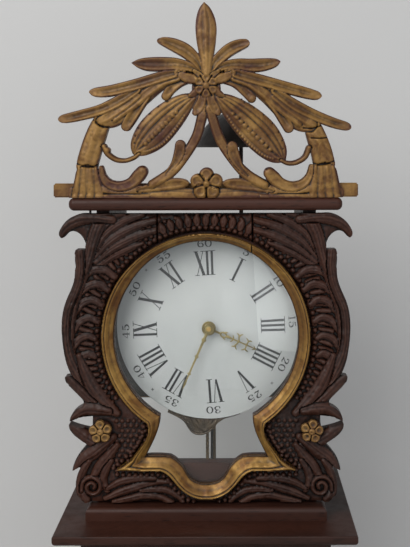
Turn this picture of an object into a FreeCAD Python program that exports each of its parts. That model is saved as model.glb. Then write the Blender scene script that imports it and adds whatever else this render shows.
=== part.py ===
import FreeCAD, Part
import math
import os
from types import SimpleNamespace

import Sketcher

Vector = FreeCAD.Vector
Rotation = FreeCAD.Rotation

# Driving sizes in millimetres. Heights named rise or drop are measured from the cornice top, which
# carries the head. X runs to the right, Y to the back and Z up, from the middle of the floor under
# the case.
sizes = {
    # cornice board and the trunk under it
    "cornice_height": 1600, "cornice_half_width": 183, "case_depth": 290,
    "cornice_thickness": 12, "cornice_edge_bevel": 6, "cornice_edge_round": 1.5,
    "well_half_width": 118, "well_front_gap": 125, "well_back_gap": 20,
    "cornice_moulding_height": 9, "cornice_moulding_round": 8.1, "cornice_moulding_out": 10.5,
    "trunk_half_width": 153, "trunk_front_gap": 30, "case_board": 18,
    "front_frame_thickness": 20, "back_board_thickness": 12,
    "wall_screw_radius": 4, "wall_screw_drop": 150,
    "door_opening_half_width": 93, "door_opening_bottom": 420, "door_opening_top_drop": 120,
    # plinth
    "plinth_height": 330, "plinth_edge_round": 8,
    "skirting_height": 90, "skirting_thickness": 11, "skirting_round": 6,
    # trunk door
    "trunk_door_gap": 1.5, "trunk_door_thickness": 18, "stile_width": 48, "rail_height": 90,
    "panel_thickness": 10, "panel_setback": 7, "panel_field_inset": 26, "panel_field_rise": 5,
    "hinge_barrel_radius": 4.5, "hinge_pin_radius": 2.5, "hinge_barrel_height": 38,
    "hinge_leaf_width": 20, "hinge_leaf_thickness": 2, "hinge_end_distance": 150,
    "fit_gap": 0.05, "part_gap": 0.3,
    "latch_height": 950, "latch_inset": 27.5, "latch_knob_radius": 11, "latch_knob_length": 14,
    "latch_rose_radius": 14, "latch_rose_thickness": 1.5, "latch_spindle_radius": 3,
    "latch_tongue_length": 42, "latch_tongue_width": 12, "latch_tongue_thickness": 4,
    # head carcass
    "head_half_width": 140, "head_board": 16.5, "head_front_gap": 81, "head_back_gap": 17,
    "head_side_height": 385.5, "head_moulding_height": 15.5, "head_moulding_out": 10,
    "head_moulding_front_gap": 49, "head_moulding_round": 6,
    "sill_height": 61, "sill_thickness": 15, "sill_setback": 2,
    "top_frame_half_width": 171, "top_frame_thickness": 16, "top_frame_front_gap": 49,
    "top_frame_back_gap": 13, "top_frame_round": 7, "top_frame_opening_half_width": 112,
    "top_frame_front_member": 50, "top_frame_back_member": 20,
    # crest
    "crest_strip_half_width": 192, "crest_strip_thickness": 17.5, "crest_strip_depth": 30,
    "crest_strip_front_gap": 47, "crest_strip_round": 6,
    "crest_half_width": 187, "crest_height": 244, "crest_thickness": 16, "crest_setback": 6,
    # head door
    "head_door_half_width": 184, "head_door_height": 382, "head_door_thickness": 22,
    "head_door_setback": 57, "door_lift": 0.8,
    "sight_radius": 117, "sight_centre_rise": 226, "sight_thickness": 14, "sight_proud": 3,
    "sight_outer_radius": 131.5, "glass_thickness": 2.4, "glass_gap": 1, "glass_middle_rise": 100,
    "rosette_radius": 14.5, "rosette_thickness": 6, "rosette_x": 132, "rosette_rise": 109.5,
    "door_pin_radius": 1.5, "door_pin_x": 147, "door_pin_inset": 4, "door_pin_depth": 12,
    # dial
    "movement_x": 2.5, "dial_rise": 231, "dial_radius": 120, "dial_dome": 8, "dial_thickness": 2,
    "dial_rim_y": -38, "dial_hole_radius": 6.5, "dial_foot_radius": 3, "dial_foot_circle": 95,
    "mask_front_y": -30, "mask_thickness": 4, "mask_bottom_rise": 138, "mask_top_gap": 2,
    "mask_hole_radius": 12,
    "apron_thickness": 1.6, "apron_bottom_rise": 91, "apron_top_rise": 150,
    "apron_half_width": 48, "apron_neck_half_width": 27, "apron_tip_half_width": 9,
    "apron_arm_rise": 128,
    # movement cage
    "seat_rise": 143, "seat_thickness": 10, "seat_front_y": -16, "seat_back_y": 94,
    "rope_hole_radius": 7, "left_bar_low": -61, "left_bar_high": -44, "centre_bar_low": -24,
    "centre_bar_high": 6, "right_bar_low": 34, "right_bar_high": 70,
    "cage_half_width": 112, "cage_front_y": -14, "cage_back_y": 92, "cage_height": 183,
    "cage_plate": 4, "pillar_radius": 4.5, "pillar_inset": 6,
    "bar_thickness": 3, "front_bar_y": -12, "back_bar_y": 87,
    "arbor_radius": 2.5, "pivot_radius": 1.2, "arbor_end_gap": 0.5,
    # going train
    "great_rise": 203, "great_teeth": 96, "great_module": 1.1,
    "centre_pinion_leaves": 12, "centre_teeth": 64, "centre_module": 0.9,
    "third_offset": 18, "third_pinion_leaves": 8, "third_teeth": 60,
    "third_module": 0.8, "escape_pinion_leaves": 8, "escape_teeth": 30, "escape_radius": 19.5,
    "wheel_thickness": 2.5, "pinion_overhang": 1, "great_wheel_y": 6, "great_wheel_thickness": 3,
    "centre_wheel_y": 31, "third_wheel_y": 37.2, "escape_wheel_y": 22,
    "pulley_rope_radius": 48, "pulley_flange_radius": 51, "pulley_flange": 2,
    "pulley_half_width": 7, "going_rope_y": 20, "strike_rope_y": 50,
    # striking train
    "strike_great_teeth": 78, "pin_wheel_pinion_leaves": 13,
    "strike_great_y": 64, "pin_wheel_offset": 40, "pin_wheel_teeth": 60, "pin_wheel_module": 0.9,
    "pin_wheel_y": 74, "pin_circle_radius": 25.4, "pin_radius": 1.2, "pin_length": 4,
    "fly_offset": 62, "fly_pinion_leaves": 8, "fly_half_span": 17, "fly_thickness": 1,
    "fly_front_y": 20, "fly_back_y": 56,
    "count_wheel_radius": 34, "count_wheel_thickness": 2, "count_wheel_y": 93.5,
    "count_notch_depth": 4, "count_notch_width": 3,
    "hammer_offset": 42.8, "hammer_rise": 310, "hammer_y": 60, "hammer_arm_radius": 2,
    "hammer_level": 474, "hammer_head_radius": 5, "hammer_head_length": 16,
    "hammer_gap": 1, "hammer_tail_y": 70.5, "hammer_tail_thickness": 3, "hammer_tail_width": 4,
    "bell_x": 45, "bell_y": 35, "bell_mouth_rise": 464, "bell_radius": 63, "bell_height": 51,
    "bell_wall": 3, "bell_bore_radius": 2.2, "bell_post_radius": 2.8, "bell_nut_radius": 5.5,
    "bell_nut_height": 6, "bell_tip_rise": 16,
    # hands and motion work
    "centre_post_y": -60, "cannon_radius": 3, "cannon_front_y": -58.5, "cannon_teeth": 24,
    "motion_module": 0.7, "hour_module": 0.6, "minute_wheel_teeth": 48,
    "minute_pinion_leaves": 12, "hour_teeth": 72, "motion_wheel_y": -18.5,
    "hour_wheel_y": -23.5, "motion_thickness": 2, "hour_pipe_radius": 5,
    "hour_pipe_front_y": -53, "stud_radius": 1.5, "stud_length": 13,
    "hour_hand_length": 68, "minute_hand_length": 84, "hand_thickness": 1.2,
    "hour_hand_y": -52.6, "minute_hand_y": -57.8, "hour_boss_radius": 9,
    "minute_boss_radius": 7.5, "hand_boss_thickness": 2,
    # pallets and pendulum
    "pallet_rise": 306.5, "pallet_thickness": 3, "pallet_span_x": 15.4,
    "crutch_y": 94, "crutch_length": 120, "crutch_width": 5, "crutch_thickness": 2,
    "crutch_fork_gap": 0.4, "crutch_fork_reach": 14,
    "cock_half_width": 9, "cock_back_y": 114, "cock_leg_thickness": 4,
    "suspension_pin_radius": 1.5, "suspension_pin_end_y": 99.5, "suspension_cap_radius": 3.5,
    "suspension_cap_thickness": 1.5,
    "pendulum_y": 105, "pendulum_length": 994, "rod_radius": 2.5, "rod_eye_radius": 5,
    "rod_eye_thickness": 6, "rod_tail_length": 30,
    "bob_radius": 65, "bob_thickness": 26, "rating_nut_radius": 8, "rating_nut_height": 7,
    # weights and ropes
    "rope_radius": 2.5, "weight_radius": 28, "weight_length": 190,
    "weight_neck_radius": 4, "weight_neck_length": 22, "weight_top_drop": 270,
    "counter_radius": 9, "counter_length": 60, "counter_top_height": 330,
    # one overrun for every cut
    "overrun": 5,
}


class Length:
    """A number that also knows the sheet formula it came from."""

    def __init__(self, text, number):
        self.text = text
        self.number = float(number)

    def __float__(self):
        return self.number

    def __add__(self, other):
        return Length(f"({self.text} + {formula(other)})", self.number + float(other))

    def __radd__(self, other):
        return Length(f"({formula(other)} + {self.text})", float(other) + self.number)

    def __sub__(self, other):
        return Length(f"({self.text} - {formula(other)})", self.number - float(other))

    def __rsub__(self, other):
        return Length(f"({formula(other)} - {self.text})", float(other) - self.number)

    def __mul__(self, other):
        return Length(f"({self.text} * {formula(other)})", self.number * float(other))

    def __rmul__(self, other):
        return Length(f"({formula(other)} * {self.text})", float(other) * self.number)

    def __truediv__(self, other):
        return Length(f"({self.text} / {formula(other)})", self.number / float(other))

    def __neg__(self):
        return Length(f"(0 - {self.text})", -self.number)


def formula(amount):
    return amount.text if isinstance(amount, Length) else repr(float(amount))


def root_of(amount):
    return Length(f"sqrt({amount.text})", math.sqrt(amount.number))


doc = FreeCAD.newDocument("LongcaseClock")
sheet = doc.addObject("Spreadsheet::Sheet", "Sizes")
for row, (name, amount) in enumerate(sizes.items(), start=1):
    sheet.set(f"A{row}", name)
    sheet.set(f"B{row}", str(amount))
    sheet.setAlias(f"B{row}", name)
doc.recompute()
s = SimpleNamespace(**{name: Length(f"Sizes.{name}", sheet.get(name)) for name in sizes})

nodes = {}
ALONG = {"X": Rotation(Vector(0, 1, 0), 90), "Y": Rotation(Vector(1, 0, 0), -90), "Z": Rotation()}


def keep(item, label):
    """Name a finished sub-part; its label is its file's name."""
    item.Label = label
    nodes[label] = item
    return item


def place(item, at, turn=None):
    if turn is not None:
        item.Placement = FreeCAD.Placement(Vector(), turn)
    for axis, where in zip("xyz", at):
        item.setExpression(f"Placement.Base.{axis}", formula(where))
    return item


def board(name, across, deep, tall):
    """A box given by its span on each axis."""
    item = doc.addObject("Part::Box", name)
    for side, (low, high) in zip(("Length", "Width", "Height"), (across, deep, tall)):
        item.setExpression(side, formula(high - low))
    return place(item, (across[0], deep[0], tall[0]))


def rod(name, radius, start, length, along="Z"):
    item = doc.addObject("Part::Cylinder", name)
    item.setExpression("Radius", formula(radius))
    item.setExpression("Height", formula(length))
    return place(item, start, ALONG[along])


def joined(name, pieces):
    item = doc.addObject("Part::MultiFuse", name)
    item.Shapes = pieces
    item.Refine = True
    return item


def less(name, base, tools):
    """The base with the tools cut away."""
    item = doc.addObject("Part::Cut", name)
    item.Base = base
    item.Tool = tools[0] if len(tools) == 1 else joined(f"{name}_cutters", tools)
    return item


def group(name, pieces):
    item = doc.addObject("Part::Compound", name)
    item.Links = pieces
    return item


def free_shape(name, shape):
    item = doc.addObject("Part::Feature", name)
    item.Shape = shape
    return item


def new_body(name):
    return doc.addObject("PartDesign::Body", name)


def outline(body, name, role, points):
    """A closed sketch on one of the body's own planes. A third number on a point makes the edge
    that follows it an arc of that radius, to the left of the way for a positive one."""
    sketch = body.newObject("Sketcher::SketchObject", name)
    planes = [part for part in body.Origin.OriginFeatures if part.Role == role]
    sketch.AttachmentSupport = (planes[0], [""])
    sketch.MapMode = "FlatFace"
    ends = []
    for index, point in enumerate(points):
        after = points[(index + 1) % len(points)]
        start = Vector(float(point[0]), float(point[1]), 0)
        stop = Vector(float(after[0]), float(after[1]), 0)
        if len(point) == 2:
            edge = sketch.addGeometry(Part.LineSegment(start, stop), False)
            ends.append((edge, 1, 2))
            continue
        radius = abs(float(point[2]))
        side = 1 if float(point[2]) > 0 else -1
        way = stop - start
        across = Vector(-way.y, way.x, 0).normalize()
        rise = math.sqrt(max(radius ** 2 - (way.Length / 2) ** 2, 0))
        centre = start + way * 0.5 + across * rise * side
        first, last = (start, stop) if side > 0 else (stop, start)
        angles = [math.atan2(end.y - centre.y, end.x - centre.x) for end in (first, last)]
        circle = Part.Circle(centre, Vector(0, 0, 1), radius)
        edge = sketch.addGeometry(Part.ArcOfCircle(circle, angles[0], angles[1]), False)
        ends.append((edge, 1, 2) if side > 0 else (edge, 2, 1))
    for index, (edge, first, last) in enumerate(ends):
        follower, begin, _ = ends[(index + 1) % len(ends)]
        sketch.addConstraint(Sketcher.Constraint("Coincident", edge, last, follower, begin))
    for index, (point, (edge, first, last)) in enumerate(zip(points, ends)):
        for kind, where in (("DistanceX", point[0]), ("DistanceY", point[1])):
            rule = Sketcher.Constraint(kind, -1, 1, edge, first, float(where))
            number = sketch.addConstraint(rule)
            sketch.renameConstraint(number, f"{kind}{index}")
            sketch.setExpression(f"Constraints.{kind}{index}", formula(where))
        if len(point) == 3:
            radius = point[2] if float(point[2]) > 0 else -point[2]
            number = sketch.addConstraint(Sketcher.Constraint("Radius", edge, float(radius)))
            sketch.renameConstraint(number, f"Bend{index}")
            sketch.setExpression(f"Constraints.Bend{index}", formula(radius))
    return sketch


def pad(body, name, sketch, length, reversed_way=False):
    feature = body.newObject("PartDesign::Pad", name)
    feature.Profile = sketch
    feature.setExpression("Length", formula(length))
    feature.Reversed = reversed_way
    return feature


def cut_through(body, name, sketch, length, reversed_way=False):
    feature = body.newObject("PartDesign::Pocket", name)
    feature.Profile = sketch
    feature.setExpression("Length", formula(length))
    feature.Reversed = reversed_way
    return feature


def rounded(body, name, base, radius, wanted):
    """Round the edges of the base feature whose middle passes the test."""
    doc.recompute()
    names = []
    for number, edge in enumerate(base.Shape.Edges, start=1):
        middle = edge.valueAt((edge.FirstParameter + edge.LastParameter) / 2)
        if wanted(middle, edge):
            names.append(f"Edge{number}")
    feature = body.newObject("PartDesign::Fillet", name)
    feature.Base = (base, names)
    feature.setExpression("Radius", formula(radius))
    return feature


def wrap_around(name, half_outer, front_outer, half_inner, front_inner, back, low, tall):
    """A three-sided surround, open at the back, padded up from its plan."""
    body = new_body(name)
    plan = outline(body, f"{name}_plan", "XY_Plane", [
        (-half_outer, front_outer), (half_outer, front_outer), (half_outer, back),
        (half_inner, back), (half_inner, front_inner), (-half_inner, front_inner),
        (-half_inner, back), (-half_outer, back)])
    feature = pad(body, f"{name}_pad", plan, tall)
    place(body, (0, 0, low))
    return body, feature


def near(first, second):
    return abs(first - float(second)) < 0.01


# Places that several pieces share
front = -s.case_depth / 2
back = s.case_depth / 2
head_floor = s.cornice_height
trunk_top = s.cornice_height - s.cornice_thickness
trunk_front = front + s.trunk_front_gap
head_front = front + s.head_front_gap
head_back = back - s.head_back_gap
head_inner = s.head_half_width - s.head_board
door_front = front + s.head_door_setback
door_back = door_front + s.head_door_thickness
frame_bottom = head_floor + s.head_side_height
frame_top = frame_bottom + s.top_frame_thickness
strip_top = frame_top + s.crest_strip_thickness
seat_top = head_floor + s.seat_rise
cage_floor = seat_top + s.cage_plate
cage_top = seat_top + s.cage_height - s.cage_plate
dial_z = head_floor + s.dial_rise
great_z = head_floor + s.great_rise

# Trunk and plinth
inner_half = s.trunk_half_width - s.case_board
back_blank = board("back_board_blank", (-inner_half, inner_half),
                   (back - s.back_board_thickness, back), (0, trunk_top))
wall_hole = rod("wall_screw_hole", s.wall_screw_radius,
                (0, back - s.back_board_thickness - s.overrun, head_floor - s.wall_screw_drop),
                s.back_board_thickness + 2 * s.overrun, "Y")
keep(less("back_board", back_blank, [wall_hole]), "case_back_board")

side_front = trunk_front + s.front_frame_thickness
for label, low, high in (("trunk_side_left", -s.trunk_half_width, -inner_half),
                         ("trunk_side_right", inner_half, s.trunk_half_width)):
    keep(board(label, (low, high), (side_front, back), (0, trunk_top)), label)

opening_top = head_floor - s.door_opening_top_drop
frame_blank = board("front_frame_blank", (-s.trunk_half_width, s.trunk_half_width),
                    (trunk_front, side_front), (0, trunk_top))
door_way = board("door_way", (-s.door_opening_half_width, s.door_opening_half_width),
                 (trunk_front - s.overrun, side_front + s.overrun),
                 (s.door_opening_bottom, opening_top))
keep(less("front_frame", frame_blank, [door_way]), "trunk_front_frame")

plinth_half = s.trunk_half_width + s.case_board
plinth_front = trunk_front - s.case_board
plinth, plinth_pad = wrap_around("plinth", plinth_half, plinth_front, s.trunk_half_width,
                                 trunk_front, back, 0, s.plinth_height)
rounded(plinth, "plinth_top_edge", plinth_pad, s.plinth_edge_round,
        lambda middle, edge: near(middle.z, s.plinth_height) and (
            near(middle.y, plinth_front) or near(abs(middle.x), plinth_half)))
keep(plinth, "plinth_box")

skirting_half = plinth_half + s.skirting_thickness
skirting_front = plinth_front - s.skirting_thickness
skirting, skirting_pad = wrap_around("skirting_band", skirting_half, skirting_front, plinth_half,
                                     plinth_front, back, 0, s.skirting_height)
rounded(skirting, "skirting_top_edge", skirting_pad, s.skirting_round,
        lambda middle, edge: near(middle.z, s.skirting_height) and (
            near(middle.y, skirting_front) or near(abs(middle.x), skirting_half)))
keep(skirting, "skirting")

# Cornice
cornice = new_body("cornice")
cornice_plan = outline(cornice, "cornice_plan", "XY_Plane", [
    (-s.cornice_half_width, front), (s.cornice_half_width, front),
    (s.cornice_half_width, back), (-s.cornice_half_width, back)])
cornice_pad = pad(cornice, "cornice_pad", cornice_plan, s.cornice_thickness)


def on_show(middle, edge, level):
    outside = near(middle.y, front) or near(abs(middle.x), s.cornice_half_width)
    return near(middle.z, level) and outside


rounded(cornice, "cornice_upper_edge", cornice_pad, s.cornice_edge_round,
        lambda middle, edge: on_show(middle, edge, s.cornice_thickness))
doc.recompute()
rounded(cornice, "cornice_lower_edge", cornice.Tip, s.cornice_edge_bevel,
        lambda middle, edge: on_show(middle, edge, 0))
doc.recompute()
well_front = front + s.well_front_gap
well_back = back - s.well_back_gap
well_plan = outline(cornice, "well_plan", "XY_Plane", [
    (-s.well_half_width, well_front), (s.well_half_width, well_front),
    (s.well_half_width, well_back), (-s.well_half_width, well_back)])
cut_through(cornice, "well", well_plan, s.cornice_thickness, True)
place(cornice, (0, 0, trunk_top))
keep(cornice, "cornice_board")

moulding_half = s.trunk_half_width + s.cornice_moulding_out
moulding_front = trunk_front - s.cornice_moulding_out
moulding, moulding_pad = wrap_around(
    "cornice_round", moulding_half, moulding_front, s.trunk_half_width, trunk_front, back,
    trunk_top - s.cornice_moulding_height, s.cornice_moulding_height)
rounded(moulding, "cornice_quarter_round", moulding_pad, s.cornice_moulding_round,
        lambda middle, edge: near(middle.z, 0) and (
            near(middle.y, moulding_front) or near(abs(middle.x), moulding_half)))
keep(moulding, "cornice_moulding")

# Head carcass
base_half = s.head_half_width + s.head_moulding_out
base_front = front + s.head_moulding_front_gap
base, base_pad = wrap_around("head_base", base_half, base_front, s.head_half_width, head_front,
                             head_back, head_floor, s.head_moulding_height)
rounded(base, "head_base_edge", base_pad, s.head_moulding_round,
        lambda middle, edge: near(middle.z, s.head_moulding_height) and (
            near(middle.y, base_front) or near(abs(middle.x), base_half)))
keep(base, "head_base_moulding")

for label, low, high in (("head_side_left", -s.head_half_width, -head_inner),
                         ("head_side_right", head_inner, s.head_half_width)):
    keep(board(label, (low, high), (head_front, head_back), (head_floor, frame_bottom)), label)

sill_front = head_front + s.sill_setback
keep(board("sill", (-head_inner, head_inner), (sill_front, sill_front + s.sill_thickness),
           (head_floor, head_floor + s.sill_height)), "head_sill")

top_front = front + s.top_frame_front_gap
top_back = back - s.top_frame_back_gap
top_frame = new_body("top_frame")
top_plan = outline(top_frame, "top_frame_plan", "XY_Plane", [
    (-s.top_frame_half_width, top_front), (s.top_frame_half_width, top_front),
    (s.top_frame_half_width, top_back), (-s.top_frame_half_width, top_back)])
top_pad = pad(top_frame, "top_frame_pad", top_plan, s.top_frame_thickness)
rounded(top_frame, "top_frame_bullnose", top_pad, s.top_frame_round,
        lambda middle, edge: near(middle.y, top_front)
        or near(abs(middle.x), s.top_frame_half_width))
doc.recompute()
open_front = top_front + s.top_frame_front_member
open_back = top_back - s.top_frame_back_member
top_way = outline(top_frame, "top_frame_way", "XY_Plane", [
    (-s.top_frame_opening_half_width, open_front), (s.top_frame_opening_half_width, open_front),
    (s.top_frame_opening_half_width, open_back), (-s.top_frame_opening_half_width, open_back)])
cut_through(top_frame, "top_frame_cut", top_way, s.top_frame_thickness, True)
place(top_frame, (0, 0, frame_bottom))
keep(top_frame, "head_top_frame")

strip_front = front + s.crest_strip_front_gap
strip = new_body("crest_strip")
strip_plan = outline(strip, "crest_strip_plan", "XY_Plane", [
    (-s.crest_strip_half_width, strip_front), (s.crest_strip_half_width, strip_front),
    (s.crest_strip_half_width, strip_front + s.crest_strip_depth),
    (-s.crest_strip_half_width, strip_front + s.crest_strip_depth)])
strip_pad = pad(strip, "crest_strip_pad", strip_plan, s.crest_strip_thickness)
rounded(strip, "crest_strip_edges", strip_pad, s.crest_strip_round,
        lambda middle, edge: near(abs(middle.x), s.crest_strip_half_width)
        or (near(middle.y, strip_front)))
place(strip, (0, 0, frame_top))
keep(strip, "crest_base_strip")

# Crest: ribbons of leaf and stem as shares of its half width and height, right half, then mirrored
crest_ribbon_shares = {
    "finial": [(0, 0.60, 0.03), (0, 0.70, 0.034), (0, 0.80, 0.05), (0, 0.88, 0.068),
               (0, 0.95, 0.045), (0, 1.0, 0.004)],
    "small_leaf": [(0.03, 0.64, 0.034), (0.09, 0.735, 0.034), (0.18, 0.785, 0.03),
                   (0.30, 0.80, 0.008)],
    "second_plume": [(0.02, 0.62, 0.04), (0.16, 0.683, 0.042), (0.34, 0.69, 0.04),
                     (0.485, 0.695, 0.01)],
    "third_plume": [(0.14, 0.63, 0.04), (0.45, 0.58, 0.04), (0.66, 0.557, 0.036),
                    (0.76, 0.538, 0.01)],
    "fourth_plume": [(0.585, 0.497, 0.04), (0.775, 0.455, 0.036), (0.97, 0.39, 0.01)],
    "side_stem": [(0.12, 0.62, 0.045), (0.36, 0.53, 0.05), (0.555, 0.44, 0.055),
                  (0.69, 0.36, 0.07), (0.77, 0.22, 0.09), (0.78, 0.09, 0.1)],
    "tendril": [(0.68, 0.29, 0.018), (0.64, 0.215, 0.018), (0.56, 0.185, 0.018),
                (0.49, 0.2, 0.018), (0.45, 0.225, 0.008)],
    "pod": [(0.06, 0.5, 0.05), (0.17, 0.44, 0.1), (0.3, 0.36, 0.118), (0.42, 0.27, 0.09),
            (0.5, 0.22, 0.02)],
    "upper_curl": [(0.1, 0.6, 0.036), (0.22, 0.555, 0.032), (0.29, 0.515, 0.01)],
    "lower_curl": [(0.385, 0.51, 0.036), (0.46, 0.425, 0.032), (0.53, 0.345, 0.01)],
    "stem_fork": [(0.03, 0.46, 0.03), (0.035, 0.36, 0.03), (0.075, 0.265, 0.03),
                  (0.17, 0.17, 0.03), (0.28, 0.1, 0.034), (0.39, 0.07, 0.04)],
    "stem_leaf": [(0.1, 0.23, 0.024), (0.155, 0.265, 0.02), (0.18, 0.3, 0.006)],
    "bottom_curl": [(0.36, 0.08, 0.034), (0.415, 0.125, 0.028), (0.43, 0.16, 0.008)],
}
crest_knot_shares = (0.567, 0.098)
crest_flower_shares = (0.105, 0.105)
crest_band_shares = (0.885, 0.071, 0.092)
crest_front = strip_front + s.crest_setback


def crest_face(points):
    wire = Part.makePolygon(points + points[:1])
    return Part.Face(wire)


def ribbon_face(shares, mirror):
    """A strip that follows the middle line and tapers with the half widths."""
    wide = float(s.crest_half_width)
    high = float(s.crest_height)
    spine = [Vector(mirror * across * wide, 0, up * high) for across, up, _ in shares]
    one_side = []
    other_side = []
    for index, (point, share) in enumerate(zip(spine, shares)):
        before = spine[max(index - 1, 0)]
        after = spine[min(index + 1, len(spine) - 1)]
        way = (after - before).normalize()
        across = Vector(-way.z, 0, way.x) * (share[2] * wide)
        one_side.append(point + across)
        other_side.append(point - across)
    return crest_face(one_side + other_side[::-1])


def crest_shape():
    wide = float(s.crest_half_width)
    high = float(s.crest_height)
    faces = []
    for shares in crest_ribbon_shares.values():
        sides = (1,) if shares[0][0] == 0 else (1, -1)
        faces += [ribbon_face(shares, mirror) for mirror in sides]
    for up, radius in (crest_flower_shares, crest_knot_shares):
        ring = Part.makeCircle(radius * wide, Vector(0, 0, up * high), Vector(0, -1, 0))
        faces.append(Part.Face(Part.Wire([ring])))
    reach, low, high_share = crest_band_shares
    band = [Vector(-reach * wide, 0, low * high), Vector(reach * wide, 0, low * high),
            Vector(reach * wide, 0, high_share * high), Vector(-reach * wide, 0, high_share * high)]
    faces.append(crest_face(band))
    solids = [face.extrude(Vector(0, float(s.crest_thickness), 0)) for face in faces]
    whole = solids[0].multiFuse(solids[1:]).removeSplitter()
    floor = Part.makeBox(3 * wide, 3 * wide, high, Vector(-1.5 * wide, -wide, 0))
    lift = float(strip_top - frame_top)
    floor.translate(Vector(0, 0, lift - high))
    return whole.cut(floor)


crest = place(free_shape("crest", crest_shape()), (0, crest_front, frame_top))
keep(crest, "crest_carving")

# Head door
door_outline_shares = [
    [(0, 0.997), (0.808, 0.997)],
    [(0.808, 0.997), (0.889, 0.993), (0.95, 0.975), (0.992, 0.947), (1, 0.93), (0.985, 0.918),
     (0.95, 0.932), (0.903, 0.939), (0.851, 0.922), (0.825, 0.88)],
    [(0.825, 0.88), (0.889, 0.88)],
    [(0.889, 0.88), (0.9, 0.84), (0.895, 0.805), (0.92, 0.751), (0.955, 0.713), (0.981, 0.664),
     (0.986, 0.613), (0.977, 0.563), (0.959, 0.514), (0.92, 0.465)],
    [(0.92, 0.465), (0.965, 0.461)],
    [(0.965, 0.461), (0.961, 0.444), (0.916, 0.414), (0.853, 0.383), (0.835, 0.366)],
    [(0.835, 0.366), (0.889, 0.353), (0.925, 0.332), (0.933, 0.314)],
    [(0.933, 0.314), (0.862, 0.323), (0.781, 0.327)],
    [(0.781, 0.327), (0.781, 0.285)],
    [(0.781, 0.285), (0.869, 0.294), (0.938, 0.306)],
    [(0.938, 0.306), (0.933, 0.288), (0.88, 0.259), (0.815, 0.237)],
    [(0.815, 0.237), (0.853, 0.215), (0.897, 0.185), (0.916, 0.151)],
    [(0.916, 0.151), (0.853, 0.168)],
    [(0.853, 0.168), (0.884, 0.134), (0.893, 0.099), (0.88, 0.067), (0.844, 0.05),
     (0.763, 0.0445)],
    [(0.763, 0.0445), (0, 0.0445)],
]
# The sight opening under its arc, then the gilded moulding's outer edge, from the arc's end down
sight_inner_shares = [
    [(0.317, 0.331), (0.324, 0.298), (0.357, 0.254), (0.414, 0.198)],
    [(0.414, 0.198), (0.314, 0.199), (0.246, 0.196)],
    [(0.246, 0.196), (0.209, 0.185), (0.165, 0.164), (0.111, 0.124), (0.056, 0.109), (0, 0.1065)],
]
sight_outer_shares = [
    [(0.405, 0.311), (0.393, 0.288), (0.424, 0.246), (0.505, 0.193)],
    [(0.505, 0.193), (0.613, 0.157)],
    [(0.613, 0.157), (0.433, 0.1545), (0.317, 0.1545)],
    [(0.317, 0.1545), (0.254, 0.137), (0.192, 0.103), (0.111, 0.073), (0.056, 0.0635),
     (0, 0.0615)],
]


def stretch_edge(points):
    if len(points) == 2:
        return Part.LineSegment(points[0], points[1]).toShape()
    curve = Part.BSplineCurve()
    curve.interpolate(points)
    return curve.toShape()


def half_edges(stretches, mirror):
    wide = float(s.head_door_half_width)
    high = float(s.head_door_height)
    edges = []
    for stretch in stretches:
        points = [Vector(mirror * across * wide, 0, up * high) for across, up in stretch]
        edges.append(stretch_edge(points))
    return edges


def closed_solid(edges, thickness):
    wire = Part.Wire(Part.sortEdges(edges)[0])
    return Part.Face(wire).extrude(Vector(0, float(thickness), 0))


def sight_solid(stretches, radius, thickness, inset=0):
    """The arc over the dial closed by the shaped edge under it."""
    wide = float(s.head_door_half_width)
    high = float(s.head_door_height)
    across, up = stretches[0][0]
    right = Vector(across * wide, 0, up * high)
    left = Vector(-right.x, 0, right.z)
    crown = Vector(0, 0, float(s.sight_centre_rise + radius))
    arch = Part.Arc(left, crown, right).toShape()
    edges = [arch] + half_edges(stretches, 1) + half_edges(stretches, -1)
    solid = closed_solid(edges, thickness)
    if inset:
        middle = Vector(0, 0, float(s.glass_middle_rise))
        shrink = FreeCAD.Matrix()
        shrink.scale(Vector(1 - inset, 1, 1 - inset))
        solid.translate(-middle)
        solid = solid.transformGeometry(shrink)
        solid.translate(middle)
    return solid


def head_door_frame():
    blank = closed_solid(half_edges(door_outline_shares, 1) + half_edges(door_outline_shares, -1),
                         s.head_door_thickness)
    way = sight_solid(sight_inner_shares, s.sight_radius, s.head_door_thickness + 2 * s.overrun)
    way.translate(Vector(0, -float(s.overrun), 0))
    rebate = sight_solid(sight_outer_shares, s.sight_outer_radius, rebate_depth + s.overrun)
    rebate.translate(Vector(0, -float(s.overrun), 0))
    bore_radius = float(s.door_pin_radius + s.fit_gap)
    deep = float(s.door_pin_depth + s.door_lift + s.overrun)
    bores = []
    for start, length in ((0, deep + float(s.head_moulding_height)),
                          (float(s.head_door_height) - deep, deep)):
        foot = Vector(-float(s.door_pin_x), float(s.head_door_thickness - s.door_pin_inset), start)
        bores.append(Part.makeCylinder(bore_radius, length, foot))
    return blank.cut([way, rebate] + bores)


rebate_depth = s.sight_thickness - s.sight_proud + s.glass_thickness
door_frame = place(free_shape("door_frame", head_door_frame()), (0, door_front, head_floor))
keep(door_frame, "head_door_frame")

sight_front = door_front - s.sight_proud
sight_ring = sight_solid(sight_outer_shares, s.sight_outer_radius, s.sight_thickness)
sight_hole = sight_solid(sight_inner_shares, s.sight_radius, s.sight_thickness)
sight = place(free_shape("sight", sight_ring.cut(sight_hole)), (0, sight_front, head_floor))
keep(sight, "head_door_sight_moulding")

glass_shape = sight_solid(sight_outer_shares, s.sight_outer_radius, s.glass_thickness,
                          float(s.glass_gap / s.sight_radius))
glass_front = sight_front + s.sight_thickness
keep(place(free_shape("glass", glass_shape), (0, glass_front, head_floor)), "head_door_glass")

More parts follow.
